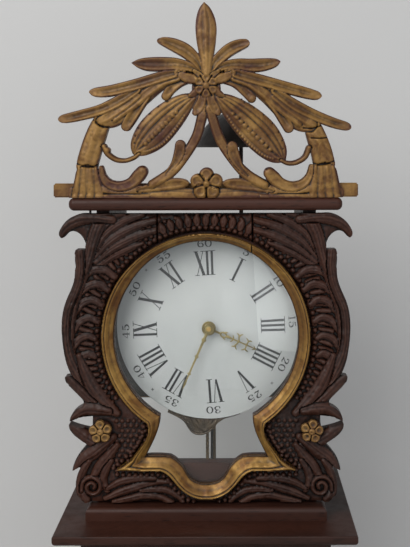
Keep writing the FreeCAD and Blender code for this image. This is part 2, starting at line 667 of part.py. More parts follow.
petal_reach_share = 0.56
petal_radius_share = 0.44
eye_radius_share = 0.3
eye_rise_share = 1.25
for label, side in (("rosette_left", -1), ("rosette_right", 1)):
    centre_x = s.rosette_x * side
    centre_z = head_floor + s.rosette_rise
    pieces = []
    for number in range(5):
        angle = math.radians(90 + 72 * number)
        reach = s.rosette_radius * petal_reach_share
        pieces.append(rod(f"{label}_petal_{number}", s.rosette_radius * petal_radius_share,
                          (centre_x + reach * math.cos(angle), door_front - s.rosette_thickness,
                           centre_z + reach * math.sin(angle)), s.rosette_thickness, "Y"))
    eye_length = s.rosette_thickness * eye_rise_share
    pieces.append(rod(f"{label}_eye", s.rosette_radius * eye_radius_share,
                      (centre_x, door_front - eye_length, centre_z), eye_length, "Y"))
    keep(joined(f"{label}_flower", pieces), label)

pin_y = door_back - s.door_pin_inset
lower_pin_length = s.door_pin_depth + s.door_lift * 2
upper_pin_length = s.door_pin_depth + (s.head_side_height - s.head_door_height)
lower_pin = rod("lower_door_pin", s.door_pin_radius,
                (-s.door_pin_x, pin_y, head_floor + s.head_moulding_height), lower_pin_length)
upper_pin = rod("upper_door_pin", s.door_pin_radius,
                (-s.door_pin_x, pin_y, frame_bottom - upper_pin_length), upper_pin_length)
keep(group("door_pins", [lower_pin, upper_pin]), "head_door_pins")

# Trunk door
leaf_half = s.door_opening_half_width - s.trunk_door_gap
leaf_low = s.door_opening_bottom + s.trunk_door_gap
leaf_high = opening_top - s.trunk_door_gap
leaf_back = trunk_front + s.trunk_door_thickness
panel_half = leaf_half - s.stile_width
panel_low = leaf_low + s.rail_height
panel_high = leaf_high - s.rail_height
latch_x = leaf_half - s.latch_inset
leaf_blank = board("trunk_door_blank", (-leaf_half, leaf_half), (trunk_front, leaf_back),
                   (leaf_low, leaf_high))
panel_way = board("panel_way", (-panel_half, panel_half),
                  (trunk_front - s.overrun, leaf_back + s.overrun), (panel_low, panel_high))
latch_bore = rod("latch_bore", s.latch_spindle_radius + s.fit_gap,
                 (latch_x, trunk_front - s.overrun, s.latch_height),
                 s.trunk_door_thickness + 2 * s.overrun, "Y")
keep(less("trunk_door_leaf", leaf_blank, [panel_way, latch_bore]), "trunk_door_frame")

panel_front = trunk_front + s.panel_setback
panel_base = board("panel_base", (-panel_half, panel_half),
                   (panel_front, panel_front + s.panel_thickness), (panel_low, panel_high))
field = board("panel_field", (-panel_half + s.panel_field_inset, panel_half - s.panel_field_inset),
              (panel_front - s.panel_field_rise, panel_front),
              (panel_low + s.panel_field_inset, panel_high - s.panel_field_inset))
keep(joined("panel", [panel_base, field]), "trunk_door_panel")

hinge_x = -(leaf_half + s.door_opening_half_width) / 2
hinge_y = trunk_front - s.hinge_barrel_radius - s.part_gap
fixed_halves = []
door_halves = []
for number, low in enumerate((s.door_opening_bottom + s.hinge_end_distance,
                              opening_top - s.hinge_end_distance - 2 * s.hinge_barrel_height)):
    middle = low + s.hinge_barrel_height
    high = middle + s.hinge_barrel_height
    barrel = rod(f"barrel_{number}", s.hinge_barrel_radius, (hinge_x, hinge_y, low),
                 s.hinge_barrel_height)
    pin = rod(f"hinge_pin_{number}", s.hinge_pin_radius, (hinge_x, hinge_y, low),
              2 * s.hinge_barrel_height)
    plate = board(f"frame_plate_{number}", (hinge_x - s.hinge_leaf_width, hinge_x),
                  (trunk_front - s.hinge_leaf_thickness, trunk_front), (low, middle))
    fixed_halves.append(joined(f"fixed_half_{number}", [barrel, pin, plate]))
    sleeve = rod(f"sleeve_{number}", s.hinge_barrel_radius, (hinge_x, hinge_y, middle),
                 s.hinge_barrel_height)
    wing = board(f"door_plate_{number}", (hinge_x, hinge_x + s.hinge_leaf_width),
                 (trunk_front - s.hinge_leaf_thickness, trunk_front), (middle, high))
    bore = rod(f"sleeve_bore_{number}", s.hinge_pin_radius + s.fit_gap,
               (hinge_x, hinge_y, middle - s.overrun), s.hinge_barrel_height + 2 * s.overrun)
    whole_sleeve = joined(f"whole_sleeve_{number}", [sleeve, wing])
    door_halves.append(less(f"door_half_{number}", whole_sleeve, [bore]))
keep(group("fixed_hinges", fixed_halves), "trunk_hinge_pins")
keep(group("door_hinges", door_halves), "trunk_hinge_sleeves")

rose_back = trunk_front - s.part_gap
tongue_front = side_front + s.part_gap
knob_back = rose_back - s.latch_rose_thickness
knob_neck_share = 0.5
latch_pieces = [
    rod("latch_rose", s.latch_rose_radius, (latch_x, knob_back, s.latch_height),
        s.latch_rose_thickness, "Y"),
    rod("latch_neck", s.latch_knob_radius * knob_neck_share,
        (latch_x, knob_back - s.latch_knob_length, s.latch_height), s.latch_knob_length, "Y"),
    rod("latch_knob", s.latch_knob_radius,
        (latch_x, knob_back - s.latch_knob_length, s.latch_height),
        s.latch_knob_length * knob_neck_share, "Y"),
    rod("latch_spindle", s.latch_spindle_radius, (latch_x, knob_back, s.latch_height),
        tongue_front - knob_back, "Y"),
    board("latch_tongue", (latch_x - s.latch_tongue_width / 2, latch_x + s.latch_tongue_width / 2),
          (tongue_front, tongue_front + s.latch_tongue_thickness),
          (s.latch_height - s.latch_tongue_width / 2,
           s.latch_height - s.latch_tongue_width / 2 + s.latch_tongue_length)),
]
keep(joined("latch", latch_pieces), "trunk_door_latch")

# Dial group
mx = s.movement_x
mask_blank = board("mask_blank", (-head_inner, head_inner),
                   (s.mask_front_y, s.mask_front_y + s.mask_thickness),
                   (head_floor + s.mask_bottom_rise, frame_bottom - s.mask_top_gap))
mask_hole = rod("mask_hole", s.mask_hole_radius, (mx, s.mask_front_y - s.overrun, dial_z),
                s.mask_thickness + 2 * s.overrun, "Y")
keep(less("mask", mask_blank, [mask_hole]), "dial_mask")


def dial_shape():
    """A domed disc on four feet, its rim in the plane Y = 0 of the shape."""
    radius = float(s.dial_radius)
    dome = float(s.dial_dome)
    thick = float(s.dial_thickness)
    ball = (radius ** 2 + dome ** 2) / (2 * dome)
    middle = Vector(0, ball - dome, 0)
    shell = Part.makeSphere(ball, middle).cut(Part.makeSphere(ball - thick, middle))
    disc = Part.makeCylinder(radius, dome + thick, Vector(0, -dome, 0), Vector(0, 1, 0))
    plate = shell.common(disc)
    foot_end = float(s.mask_front_y - s.dial_rim_y)
    reach = float(s.dial_foot_circle)
    dip = math.sqrt((ball - thick) ** 2 - reach ** 2)
    start = ball - dome - dip - thick / 2
    feet = []
    for number in range(4):
        angle = math.radians(45 + 90 * number)
        foot = Vector(reach * math.cos(angle), start, reach * math.sin(angle))
        feet.append(Part.makeCylinder(float(s.dial_foot_radius), foot_end - start, foot,
                                      Vector(0, 1, 0)))
    hole = Part.makeCylinder(float(s.dial_hole_radius), 4 * dome, Vector(0, -2 * dome, 0),
                             Vector(0, 1, 0))
    return plate.multiFuse(feet).cut(hole)


keep(place(free_shape("dial", dial_shape()), (mx, s.dial_rim_y, dial_z)), "dial_plate")

apron = new_body("apron")
apron_neck = s.apron_neck_half_width
apron_wide = s.apron_half_width
shoulder_rise = (s.apron_bottom_rise + s.mask_bottom_rise) / 2
apron_plan = outline(apron, "apron_outline", "XZ_Plane", [
    (-apron_wide, s.apron_top_rise), (-apron_wide, s.apron_arm_rise),
    (-apron_neck, shoulder_rise), (-s.apron_tip_half_width, s.apron_bottom_rise),
    (s.apron_tip_half_width, s.apron_bottom_rise), (apron_neck, shoulder_rise),
    (apron_wide, s.apron_arm_rise), (apron_wide, s.apron_top_rise)])
pad(apron, "apron_pad", apron_plan, s.apron_thickness)
place(apron, (mx, s.mask_front_y, head_floor))
keep(apron, "brass_apron")

# Movement cage
wheel_distance = (s.great_teeth + s.centre_pinion_leaves) * s.great_module / 2
great_offset = root_of(wheel_distance * wheel_distance
                       - (s.dial_rise - s.great_rise) * (s.dial_rise - s.great_rise))
third_distance = (s.centre_teeth + s.third_pinion_leaves) * s.centre_module / 2
third_rise = s.dial_rise + root_of(third_distance * third_distance
                                   - s.third_offset * s.third_offset)
escape_distance = (s.third_teeth + s.escape_pinion_leaves) * s.third_module / 2
escape_rise = third_rise + root_of(escape_distance * escape_distance
                                   - s.third_offset * s.third_offset)
strike_module = wheel_distance * 2 / (s.strike_great_teeth + s.pin_wheel_pinion_leaves)
pin_step = great_offset - s.pin_wheel_offset
pin_wheel_rise = s.great_rise + root_of(wheel_distance * wheel_distance - pin_step * pin_step)
fly_distance = (s.pin_wheel_teeth + s.fly_pinion_leaves) * s.pin_wheel_module / 2
fly_step = s.fly_offset - s.pin_wheel_offset
fly_rise = pin_wheel_rise + root_of(fly_distance * fly_distance - fly_step * fly_step)
arbors = {
    "going_great": (-great_offset, s.great_rise),
    "centre": (0, s.dial_rise),
    "third": (-s.third_offset, third_rise),
    "escape": (0, escape_rise),
    "pallets": (0, s.pallet_rise),
    "strike_great": (great_offset, s.great_rise),
    "pin_wheel": (s.pin_wheel_offset, pin_wheel_rise),
    "fly": (s.fly_offset, fly_rise),
    "hammer": (s.hammer_offset, s.hammer_rise),
}
rope_places = {
    "going_outer": (-great_offset - s.pulley_rope_radius, s.going_rope_y),
    "going_inner": (-great_offset + s.pulley_rope_radius, s.going_rope_y),
    "strike_outer": (great_offset + s.pulley_rope_radius, s.strike_rope_y),
    "strike_inner": (great_offset - s.pulley_rope_radius, s.strike_rope_y),
}


def rope_holes(name, low, thickness):
    return [rod(f"{name}_{place_name}", s.rope_hole_radius,
                (mx + across, deep, low - s.overrun), thickness + 2 * s.overrun)
            for place_name, (across, deep) in rope_places.items()]


seat_blank = board("seat_blank", (-head_inner, head_inner), (s.seat_front_y, s.seat_back_y),
                   (seat_top - s.seat_thickness, seat_top))
keep(less("seat", seat_blank, rope_holes("seat_hole", seat_top - s.seat_thickness,
                                         s.seat_thickness)), "seat_board")
cage_span = (mx - s.cage_half_width, mx + s.cage_half_width)
bottom_blank = board("bottom_plate_blank", cage_span, (s.cage_front_y, s.cage_back_y),
                     (seat_top, cage_floor))
keep(less("bottom_plate", bottom_blank, rope_holes("plate_hole", seat_top, s.cage_plate)),
     "movement_bottom_plate")

pallet_z = head_floor + s.pallet_rise
cage_roof = cage_top + s.cage_plate
cock_front = s.cock_back_y - s.cock_leg_thickness
slot_way_share = 4.5
slot_side_share = 2.5
hammer_x = mx + s.hammer_offset
top_blank = board("top_plate_blank", cage_span, (s.cage_front_y, s.cage_back_y),
                  (cage_top, cage_roof))
hammer_slot = board("hammer_slot", (hammer_x - s.hammer_arm_radius * slot_side_share,
                                    hammer_x + s.hammer_arm_radius * slot_way_share),
                    (s.hammer_y - s.hammer_arm_radius * slot_side_share,
                     s.hammer_y + s.hammer_arm_radius * slot_side_share),
                    (cage_top - s.overrun, cage_roof + s.overrun))
top_cut = less("top_plate_cut", top_blank, [hammer_slot])
cock_tongue = board("cock_tongue", (mx - s.cock_half_width, mx + s.cock_half_width),
                    (s.cage_back_y, s.cock_back_y), (cage_top, cage_roof))
cock_leg = board("cock_leg", (mx - s.cock_half_width, mx + s.cock_half_width),
                 (cock_front, s.cock_back_y), (pallet_z - s.cock_half_width, cage_top))
cock_pin = rod("cock_pin", s.suspension_pin_radius, (mx, s.suspension_pin_end_y, pallet_z),
               cock_front - s.suspension_pin_end_y, "Y")
cock_cap = rod("cock_cap", s.suspension_cap_radius,
               (mx, s.suspension_pin_end_y, pallet_z), s.suspension_cap_thickness, "Y")
keep(joined("top_plate", [top_cut, cock_tongue, cock_leg, cock_pin, cock_cap]),
     "movement_top_plate")

cage_pieces = []
for side in (-1, 1):
    for deep in (s.cage_front_y + s.pillar_inset, s.cage_back_y - s.pillar_inset):
        across = mx + (s.cage_half_width - s.pillar_inset) * side
        cage_pieces.append(rod("pillar", s.pillar_radius, (across, deep, cage_floor),
                               cage_top - cage_floor))
bars = {
    "left": (s.left_bar_low, s.left_bar_high, ("going_great",)),
    "centre": (s.centre_bar_low, s.centre_bar_high, ("centre", "third", "escape", "pallets")),
    "right": (s.right_bar_low, s.right_bar_high, ("strike_great", "pin_wheel", "fly", "hammer")),
}
stud_z = dial_z - (s.cannon_teeth + s.minute_wheel_teeth) * s.motion_module / 2
for deep, face in ((s.front_bar_y, "front"), (s.back_bar_y, "back")):
    for name, (low, high, held) in bars.items():
        blank = board(f"{face}_{name}_blank", (mx + low, mx + high),
                      (deep, deep + s.bar_thickness), (cage_floor, cage_top))
        holes = [rod(f"{face}_{arbor}_hole", s.pivot_radius + s.fit_gap,
                     (mx + arbors[arbor][0], deep - s.overrun, head_floor + arbors[arbor][1]),
                     s.bar_thickness + 2 * s.overrun, "Y") for arbor in held]
        bar = less(f"{face}_{name}_bar", blank, holes)
        if (face, name) == ("front", "centre"):
            stud = rod("minute_stud", s.stud_radius, (mx, deep - s.stud_length, stud_z),
                       s.stud_length, "Y")
            bar = joined("front_centre_bar_with_stud", [bar, stud])
        cage_pieces.append(bar)
keep(group("cage_uprights", cage_pieces), "movement_pillars_and_bars")

# Wheels: shares of the pitch for half a tooth at its root and tip, and of the module for its height
wheel_tooth_shares = (0.24, 0.08, 1.25, 0.85)
leaf_tooth_shares = (0.19, 0.09, 1.25, 0.7)
rim_share = 3.2
spoke_count = 4
spoke_share = 0.07


def toothed(teeth, module, tooth_shares, phase, low, thick):
    """A toothed disc across the Y axis; phase turns one tooth's middle to that angle."""
    teeth = int(float(teeth))
    module = float(module)
    root_half, tip_half, fall, climb = tooth_shares
    pitch = 2 * math.pi / teeth
    root = teeth * module / 2 - fall * module
    tip = teeth * module / 2 + climb * module
    points = []
    for number in range(teeth):
        middle = phase + number * pitch
        for turn, radius in ((-root_half, root), (-tip_half, tip), (tip_half, tip),
                             (root_half, root)):
            angle = middle + turn * pitch
            points.append(Vector(radius * math.cos(angle), float(low), radius * math.sin(angle)))
    face = Part.Face(Part.makePolygon(points + points[:1]))
    return face.extrude(Vector(0, float(thick), 0))


def disc(radius, low, thick):
    return Part.makeCylinder(float(radius), float(thick), Vector(0, float(low), 0),
                             Vector(0, 1, 0))


def spoked(teeth, module, phase, low, thick, hub):
    """A toothed rim on four spokes and a hub."""
    outer = float(teeth * module / 2 - module * rim_share)
    blank = toothed(teeth, module, wheel_tooth_shares, phase, low, thick)
    rim = blank.cut(disc(outer, low - s.overrun, thick + 2 * s.overrun))
    width = outer * spoke_share * 2
    arms = []
    for number in range(spoke_count // 2):
        arm = Part.makeBox(2 * outer + width, float(thick), width,
                           Vector(-outer - width / 2, float(low), -width / 2))
        arm.rotate(Vector(), Vector(0, 1, 0), 90 * number)
        arms.append(arm)
    return rim.multiFuse(arms + [disc(hub, low, thick)])


def arbor(front_y, back_y):
    """A staff with a thinner pivot at each end, which runs through the bars."""
    low = s.front_bar_y + s.bar_thickness + s.arbor_end_gap
    high = s.back_bar_y - s.arbor_end_gap
    return [disc(s.arbor_radius, low, high - low), disc(s.pivot_radius, front_y,
                                                       back_y - front_y)]


def direction(first, second):
    """The angle from one arbor to another, seen from the front."""
    across = float(arbors[second][0]) - float(arbors[first][0])
    up = float(arbors[second][1]) - float(arbors[first][1])
    return math.atan2(up, across)


def leaf_phase(driver, driven, leaves):
    """The angle of a leaf so that a gap faces the driver's tooth."""
    return direction(driven, driver) + math.pi / float(leaves)


def keep_wheel(label, arbor_name, pieces):
    whole = pieces[0].multiFuse(pieces[1:]).removeSplitter()
    across, up = arbors[arbor_name]
    keep(place(free_shape(f"{label}_shape", whole), (mx + across, 0, head_floor + up)), label)


pivot_front = s.front_bar_y
pivot_back = s.back_bar_y + s.bar_thickness
hub_share = 2.6
wheel_hub = s.arbor_radius * hub_share

keep_wheel("going_great_wheel", "going_great", arbor(pivot_front, pivot_back) + [
    spoked(s.great_teeth, s.great_module, direction("going_great", "centre"), s.great_wheel_y,
           s.great_wheel_thickness, wheel_hub)])
keep_wheel("centre_wheel", "centre", arbor(s.centre_post_y, pivot_back) + [
    toothed(s.centre_pinion_leaves, s.great_module, leaf_tooth_shares,
            leaf_phase("going_great", "centre", s.centre_pinion_leaves),
            s.great_wheel_y - s.pinion_overhang,
            s.great_wheel_thickness + 2 * s.pinion_overhang),
    spoked(s.centre_teeth, s.centre_module, direction("centre", "third"), s.centre_wheel_y,
           s.wheel_thickness, wheel_hub)])
keep_wheel("third_wheel", "third", arbor(pivot_front, pivot_back) + [
    toothed(s.third_pinion_leaves, s.centre_module, leaf_tooth_shares,
            leaf_phase("centre", "third", s.third_pinion_leaves), s.centre_wheel_y - s.pinion_overhang,
            s.wheel_thickness + 2 * s.pinion_overhang),
    spoked(s.third_teeth, s.third_module, direction("third", "escape"), s.third_wheel_y,
           s.wheel_thickness, wheel_hub)])

escape_tooth_length_share = 0.16
escape_tooth_lean = 0.55
escape_tooth_tip = 0.1
escape_tooth_foot = 0.2


def escape_wheel_shape():
    teeth = int(float(s.escape_teeth))
    tip = float(s.escape_radius)
    root = tip * (1 - escape_tooth_length_share)
    pitch = 2 * math.pi / teeth
    low = float(s.escape_wheel_y)
    points = []
    for number in range(teeth):
        start = number * pitch
        for turn, radius in ((0, root), (escape_tooth_lean * pitch, tip),
                             ((escape_tooth_lean + escape_tooth_tip) * pitch, tip),
                             ((escape_tooth_lean + escape_tooth_foot) * pitch, root)):
            angle = start + turn
            points.append(Vector(radius * math.cos(angle), low, radius * math.sin(angle)))
    face = Part.Face(Part.makePolygon(points + points[:1]))
    blank = face.extrude(Vector(0, float(s.wheel_thickness), 0))
    inner = root - tip * escape_tooth_length_share
    rim = blank.cut(disc(inner, s.escape_wheel_y - s.overrun, s.wheel_thickness + 2 * s.overrun))
    width = inner * spoke_share * 2
    arms = []
    for number in range(spoke_count // 2):
        arm = Part.makeBox(2 * inner + width, float(s.wheel_thickness), width,
                           Vector(-inner - width / 2, low, -width / 2))
        arm.rotate(Vector(), Vector(0, 1, 0), 90 * number)
        arms.append(arm)
    return rim.multiFuse(arms + [disc(wheel_hub, s.escape_wheel_y, s.wheel_thickness)])


keep_wheel("escape_wheel", "escape", arbor(pivot_front, pivot_back) + [
    toothed(s.escape_pinion_leaves, s.third_module, leaf_tooth_shares,
            leaf_phase("third", "escape", s.escape_pinion_leaves), s.third_wheel_y - s.pinion_overhang,
            s.wheel_thickness + 2 * s.pinion_overhang),
    escape_wheel_shape()])

strike_great_arbor_end = s.count_wheel_y + s.count_wheel_thickness
keep_wheel("strike_great_wheel", "strike_great", arbor(pivot_front, strike_great_arbor_end) + [
    spoked(s.strike_great_teeth, strike_module, direction("strike_great", "pin_wheel"),
           s.strike_great_y, s.great_wheel_thickness, wheel_hub)])


def hammer_pins():
    leaves = int(float(s.pin_wheel_pinion_leaves))
    reach = float(s.pin_circle_radius)
    start = float(s.pin_wheel_y - s.pin_length)
    pins = []
    for number in range(leaves):
        angle = math.pi * (2 * number + 1) / leaves
        foot = Vector(reach * math.cos(angle), start, reach * math.sin(angle))
        pins.append(Part.makeCylinder(float(s.pin_radius), float(s.pin_length), foot,
                                      Vector(0, 1, 0)))
    return pins


keep_wheel("pin_wheel", "pin_wheel", arbor(pivot_front, pivot_back) + [
    toothed(s.pin_wheel_pinion_leaves, strike_module, leaf_tooth_shares,
            leaf_phase("strike_great", "pin_wheel", s.pin_wheel_pinion_leaves),
            s.strike_great_y - s.pinion_overhang, s.great_wheel_thickness + 2 * s.pinion_overhang),
    spoked(s.pin_wheel_teeth, s.pin_wheel_module, direction("pin_wheel", "fly"), s.pin_wheel_y,
           s.wheel_thickness, wheel_hub)] + hammer_pins())

vane = Part.makeBox(2 * float(s.fly_half_span), float(s.fly_back_y - s.fly_front_y),
                    float(s.fly_thickness),
                    Vector(-float(s.fly_half_span), float(s.fly_front_y),
                           -float(s.fly_thickness) / 2))
keep_wheel("fly", "fly", arbor(pivot_front, pivot_back) + [
    toothed(s.fly_pinion_leaves, s.pin_wheel_module, leaf_tooth_shares,
            leaf_phase("pin_wheel", "fly", s.fly_pinion_leaves), s.pin_wheel_y - s.pinion_overhang,
            s.wheel_thickness + 2 * s.pinion_overhang), vane])


def count_wheel_shape():
    """A disc whose notches follow each hour's run of strokes, one to twelve."""
    outer = float(s.count_wheel_radius)
    thick = float(s.count_wheel_thickness)
    low = float(s.count_wheel_y)
    depth = float(s.count_notch_depth)
    width = float(s.count_notch_width)
    strokes = float(s.strike_great_teeth)
    whole = disc(outer, low, thick)
    notches = []
    for hour in range(1, 13):
        notch = Part.makeBox(2 * depth, 3 * thick, width,
                             Vector(outer - depth, low - thick, -width / 2))
        notch.rotate(Vector(), Vector(0, 1, 0), 360 * hour * (hour + 1) / 2 / strokes)
        notches.append(notch)
    bore = disc(s.pivot_radius + s.fit_gap, low - thick, 3 * thick)
    return whole.cut(notches + [bore])


keep(place(free_shape("count_wheel_shape", count_wheel_shape()),
           (mx + great_offset, 0, great_z)), "count_wheel")


def pulley_shape(rope_y):
    low = rope_y - s.pulley_half_width
    floor = s.pulley_rope_radius - s.rope_radius - s.part_gap
    wide = 2 * s.pulley_half_width
    drum = disc(floor, low, wide)
    flanges = [disc(s.pulley_flange_radius, low, s.pulley_flange),
               disc(s.pulley_flange_radius, low + wide - s.pulley_flange, s.pulley_flange)]
    bore = disc(s.arbor_radius + s.fit_gap, low - s.overrun, wide + 2 * s.overrun)
    return drum.multiFuse(flanges).cut(bore)


for label, side, rope_y in (("going_pulley", -1, s.going_rope_y),
                            ("strike_pulley", 1, s.strike_rope_y)):
    keep(place(free_shape(f"{label}_shape", pulley_shape(rope_y)),
               (mx + great_offset * side, 0, great_z)), label)

# Pallets as shares of their half span, right half from the top
anchor_shares = [(0, 0.34), (0.4, 0.27), (1.17, -0.39), (1.14, -0.75), (1.0, -0.81),
                 (0.88, -0.62), (0.26, -0.23), (0, -0.26)]


def pallet_shape():
    span = float(s.pallet_span_x)
    half = [(across * span, up * span) for across, up in anchor_shares]
    around = half + [(-across, up) for across, up in half[-2:0:-1]]
    middle_y = float(s.escape_wheel_y + s.wheel_thickness / 2 - s.pallet_thickness / 2)
    points = [Vector(across, middle_y, up) for across, up in around]
    face = Part.Face(Part.makePolygon(points + points[:1]))
    anchor = face.extrude(Vector(0, float(s.pallet_thickness), 0))
    low = s.front_bar_y + s.bar_thickness + s.arbor_end_gap
    crutch_end = s.crutch_y + s.crutch_thickness
    staff = disc(s.arbor_radius, low, s.back_bar_y - s.arbor_end_gap - low)
    pivot = disc(s.pivot_radius, pivot_front, crutch_end - pivot_front)
    wide = float(s.crutch_width)
    drop = float(s.crutch_length)
    thick = float(s.crutch_thickness)
    start = float(s.crutch_y)
    strip = Part.makeBox(wide, thick, drop, Vector(-wide / 2, start, -drop))
    collar = disc(s.crutch_width / 2, s.crutch_y, s.crutch_thickness)
    inside = float(s.rod_radius + s.crutch_fork_gap)
    reach = float(s.crutch_fork_reach)
    foot = Part.makeBox(2 * (inside + thick), thick, wide, Vector(-inside - thick, start, -drop))
    prongs = [Part.makeBox(thick, reach, wide, Vector(across, start, -drop))
              for across in (-inside - thick, inside)]
    return anchor.multiFuse([staff, pivot, strip, collar, foot] + prongs)


keep(place(free_shape("pallets", pallet_shape()), (mx, 0, pallet_z)), "pallet_anchor")

# Motion work and hands
pipe_bore = s.pivot_radius + s.fit_gap
hour_bore = s.cannon_radius + s.fit_gap
motion_back = s.motion_wheel_y + s.motion_thickness
cannon_wheel = toothed(s.cannon_teeth, s.motion_module, leaf_tooth_shares,
                       -math.pi / 2 + math.pi / float(s.cannon_teeth), s.motion_wheel_y,
                       s.motion_thickness)
cannon_tube = disc(s.cannon_radius, s.cannon_front_y, motion_back - s.cannon_front_y)
cannon_bore = disc(pipe_bore, s.cannon_front_y - s.overrun,
                   motion_back - s.cannon_front_y + 2 * s.overrun)
cannon_shape = cannon_wheel.fuse(cannon_tube).cut(cannon_bore)
keep(place(free_shape("cannon", cannon_shape), (mx, 0, dial_z)), "cannon_pinion")

hour_wheel = toothed(s.hour_teeth, s.hour_module, wheel_tooth_shares,
                     -math.pi / 2, s.hour_wheel_y, s.motion_thickness)
hour_end = s.hour_wheel_y + s.motion_thickness
hour_tube = disc(s.hour_pipe_radius, s.hour_pipe_front_y, hour_end - s.hour_pipe_front_y)
hour_clearance = disc(hour_bore, s.hour_pipe_front_y - s.overrun,
                      hour_end - s.hour_pipe_front_y + 2 * s.overrun)
keep(place(free_shape("hour_pipe", hour_wheel.fuse(hour_tube).cut(hour_clearance)),
           (mx, 0, dial_z)), "hour_wheel")

minute_blank = toothed(s.minute_wheel_teeth, s.motion_module, wheel_tooth_shares, math.pi / 2,
                       s.motion_wheel_y, s.motion_thickness)
minute_leaves = toothed(s.minute_pinion_leaves, s.hour_module, leaf_tooth_shares,
                        math.pi / 2 + math.pi / float(s.minute_pinion_leaves), s.hour_wheel_y,
                        motion_back - s.hour_wheel_y)
minute_bore = disc(s.stud_radius + s.fit_gap, s.hour_wheel_y - s.overrun,
                   motion_back - s.hour_wheel_y + 2 * s.overrun)
keep(place(free_shape("minute_wheel_shape", minute_blank.fuse(minute_leaves).cut(minute_bore)),
           (mx, 0, stud_z)), "minute_wheel")

# Hands as shares of their length: the way out along the hand, then half the width
hour_hand_shares = [(0, 0.07), (0.16, 0.045), (0.24, 0.1), (0.36, 0.15), (0.47, 0.085),
                    (0.52, 0.035), (0.6, 0.03), (0.66, 0.11), (0.72, 0.04), (0.8, 0.075),
                    (0.86, 0.03), (0.93, 0.035), (1, 0.006)]
minute_hand_shares = [(0, 0.028), (0.13, 0.024), (0.16, 0.04), (0.19, 0.022), (0.37, 0.019),
                      (0.4, 0.034), (0.43, 0.019), (0.6, 0.016), (0.63, 0.028), (0.66, 0.016),
                      (0.72, 0.024), (0.8, 0.016), (1, 0.004)]
hour_hand_angle = -114
minute_hand_angle = -203.75


def hand_shape(shares, length, low, boss_radius, bore, angle):
    """A flat blade that points up before it is turned, on a round boss."""
    reach = float(length)
    side = [Vector(half * reach, float(low), out * reach) for out, half in shares]
    points = side + [Vector(-point.x, point.y, point.z) for point in side[::-1]]
    blade = Part.Face(Part.makePolygon(points + points[:1]))
    blade = blade.extrude(Vector(0, float(s.hand_thickness), 0))
    blade.rotate(Vector(), Vector(0, -1, 0), angle)
    boss = disc(boss_radius, low, s.hand_boss_thickness)
    hole = disc(bore, low - s.overrun, s.hand_boss_thickness + 2 * s.overrun)
    return blade.fuse(boss).cut(hole)


hour_hand = hand_shape(hour_hand_shares, s.hour_hand_length, s.hour_hand_y, s.hour_boss_radius,
                       s.hour_pipe_radius + s.fit_gap, hour_hand_angle)
keep(place(free_shape("hour_blade", hour_hand), (mx, 0, dial_z)), "hour_hand")

minute_hand = hand_shape(minute_hand_shares, s.minute_hand_length, s.minute_hand_y,
                         s.minute_boss_radius, s.cannon_radius + s.fit_gap, minute_hand_angle)
keep(place(free_shape("minute_blade", minute_hand), (mx, 0, dial_z)), "minute_hand")

# Hammer, bell and bell stand
bell_section_shares = [(1, 0), (0.96, 0.08), (0.905, 0.25), (0.79, 0.53), (0.63, 0.74),
                       (0.41, 0.9), (0.2, 0.98), (0.11, 1)]


def bell_profile(inset):
    wide = float(s.bell_radius) - inset
    high = float(s.bell_height) - inset
    return [Vector(across * wide, 0, up * high) for across, up in bell_section_shares]


def bell_solid(inset):
    points = bell_profile(inset)
    curve = Part.BSplineCurve()
    curve.interpolate(points)
    top = Vector(0, 0, points[-1].z)
    floor = Vector(0, 0, 0)
    edges = [curve.toShape(), Part.LineSegment(points[-1], top).toShape(),
             Part.LineSegment(top, floor).toShape(), Part.LineSegment(floor, points[0]).toShape()]
    face = Part.Face(Part.Wire(edges))
    return face.revolve(Vector(), Vector(0, 0, 1), 360)


wall = float(s.bell_wall)
bell_bore = Part.makeCylinder(float(s.bell_bore_radius + s.fit_gap),
                              float(s.bell_height + 2 * s.overrun),
                              Vector(0, 0, -float(s.overrun)))
bell_shape = bell_solid(0).cut(bell_solid(wall)).cut(bell_bore)
bell_z = head_floor + s.bell_mouth_rise
keep(place(free_shape("bell_cup", bell_shape), (s.bell_x, s.bell_y, bell_z)), "bell")

crown_z = bell_z + s.bell_height
shoulder_z = crown_z - s.bell_wall
post = rod("bell_post", s.bell_post_radius, (s.bell_x, s.bell_y, cage_roof),
           shoulder_z - cage_roof)
spigot = rod("bell_spigot", s.bell_bore_radius, (s.bell_x, s.bell_y, cage_roof),
             crown_z + s.bell_tip_rise - cage_roof)
nut_blank = rod("bell_nut_blank", s.bell_nut_radius, (s.bell_x, s.bell_y, crown_z),
                s.bell_nut_height)
nut_bore = rod("bell_nut_bore", s.bell_bore_radius + s.fit_gap,
               (s.bell_x, s.bell_y, crown_z - s.overrun), s.bell_nut_height + 2 * s.overrun)
keep(group("bell_holder", [joined("bell_pillar", [post, spigot]),
                           less("bell_nut", nut_blank, [nut_bore])]), "bell_stand")

arm_length = s.hammer_level - s.hammer_rise


def wall_radius_at(height):
    """Half the width inside the bell at a height over its mouth."""
    points = bell_profile(wall)
    for lower, upper in zip(points, points[1:]):
        if lower.z <= height <= upper.z:
            part = (height - lower.z) / (upper.z - lower.z)
            return lower.x + (upper.x - lower.x) * part
    return points[0].x


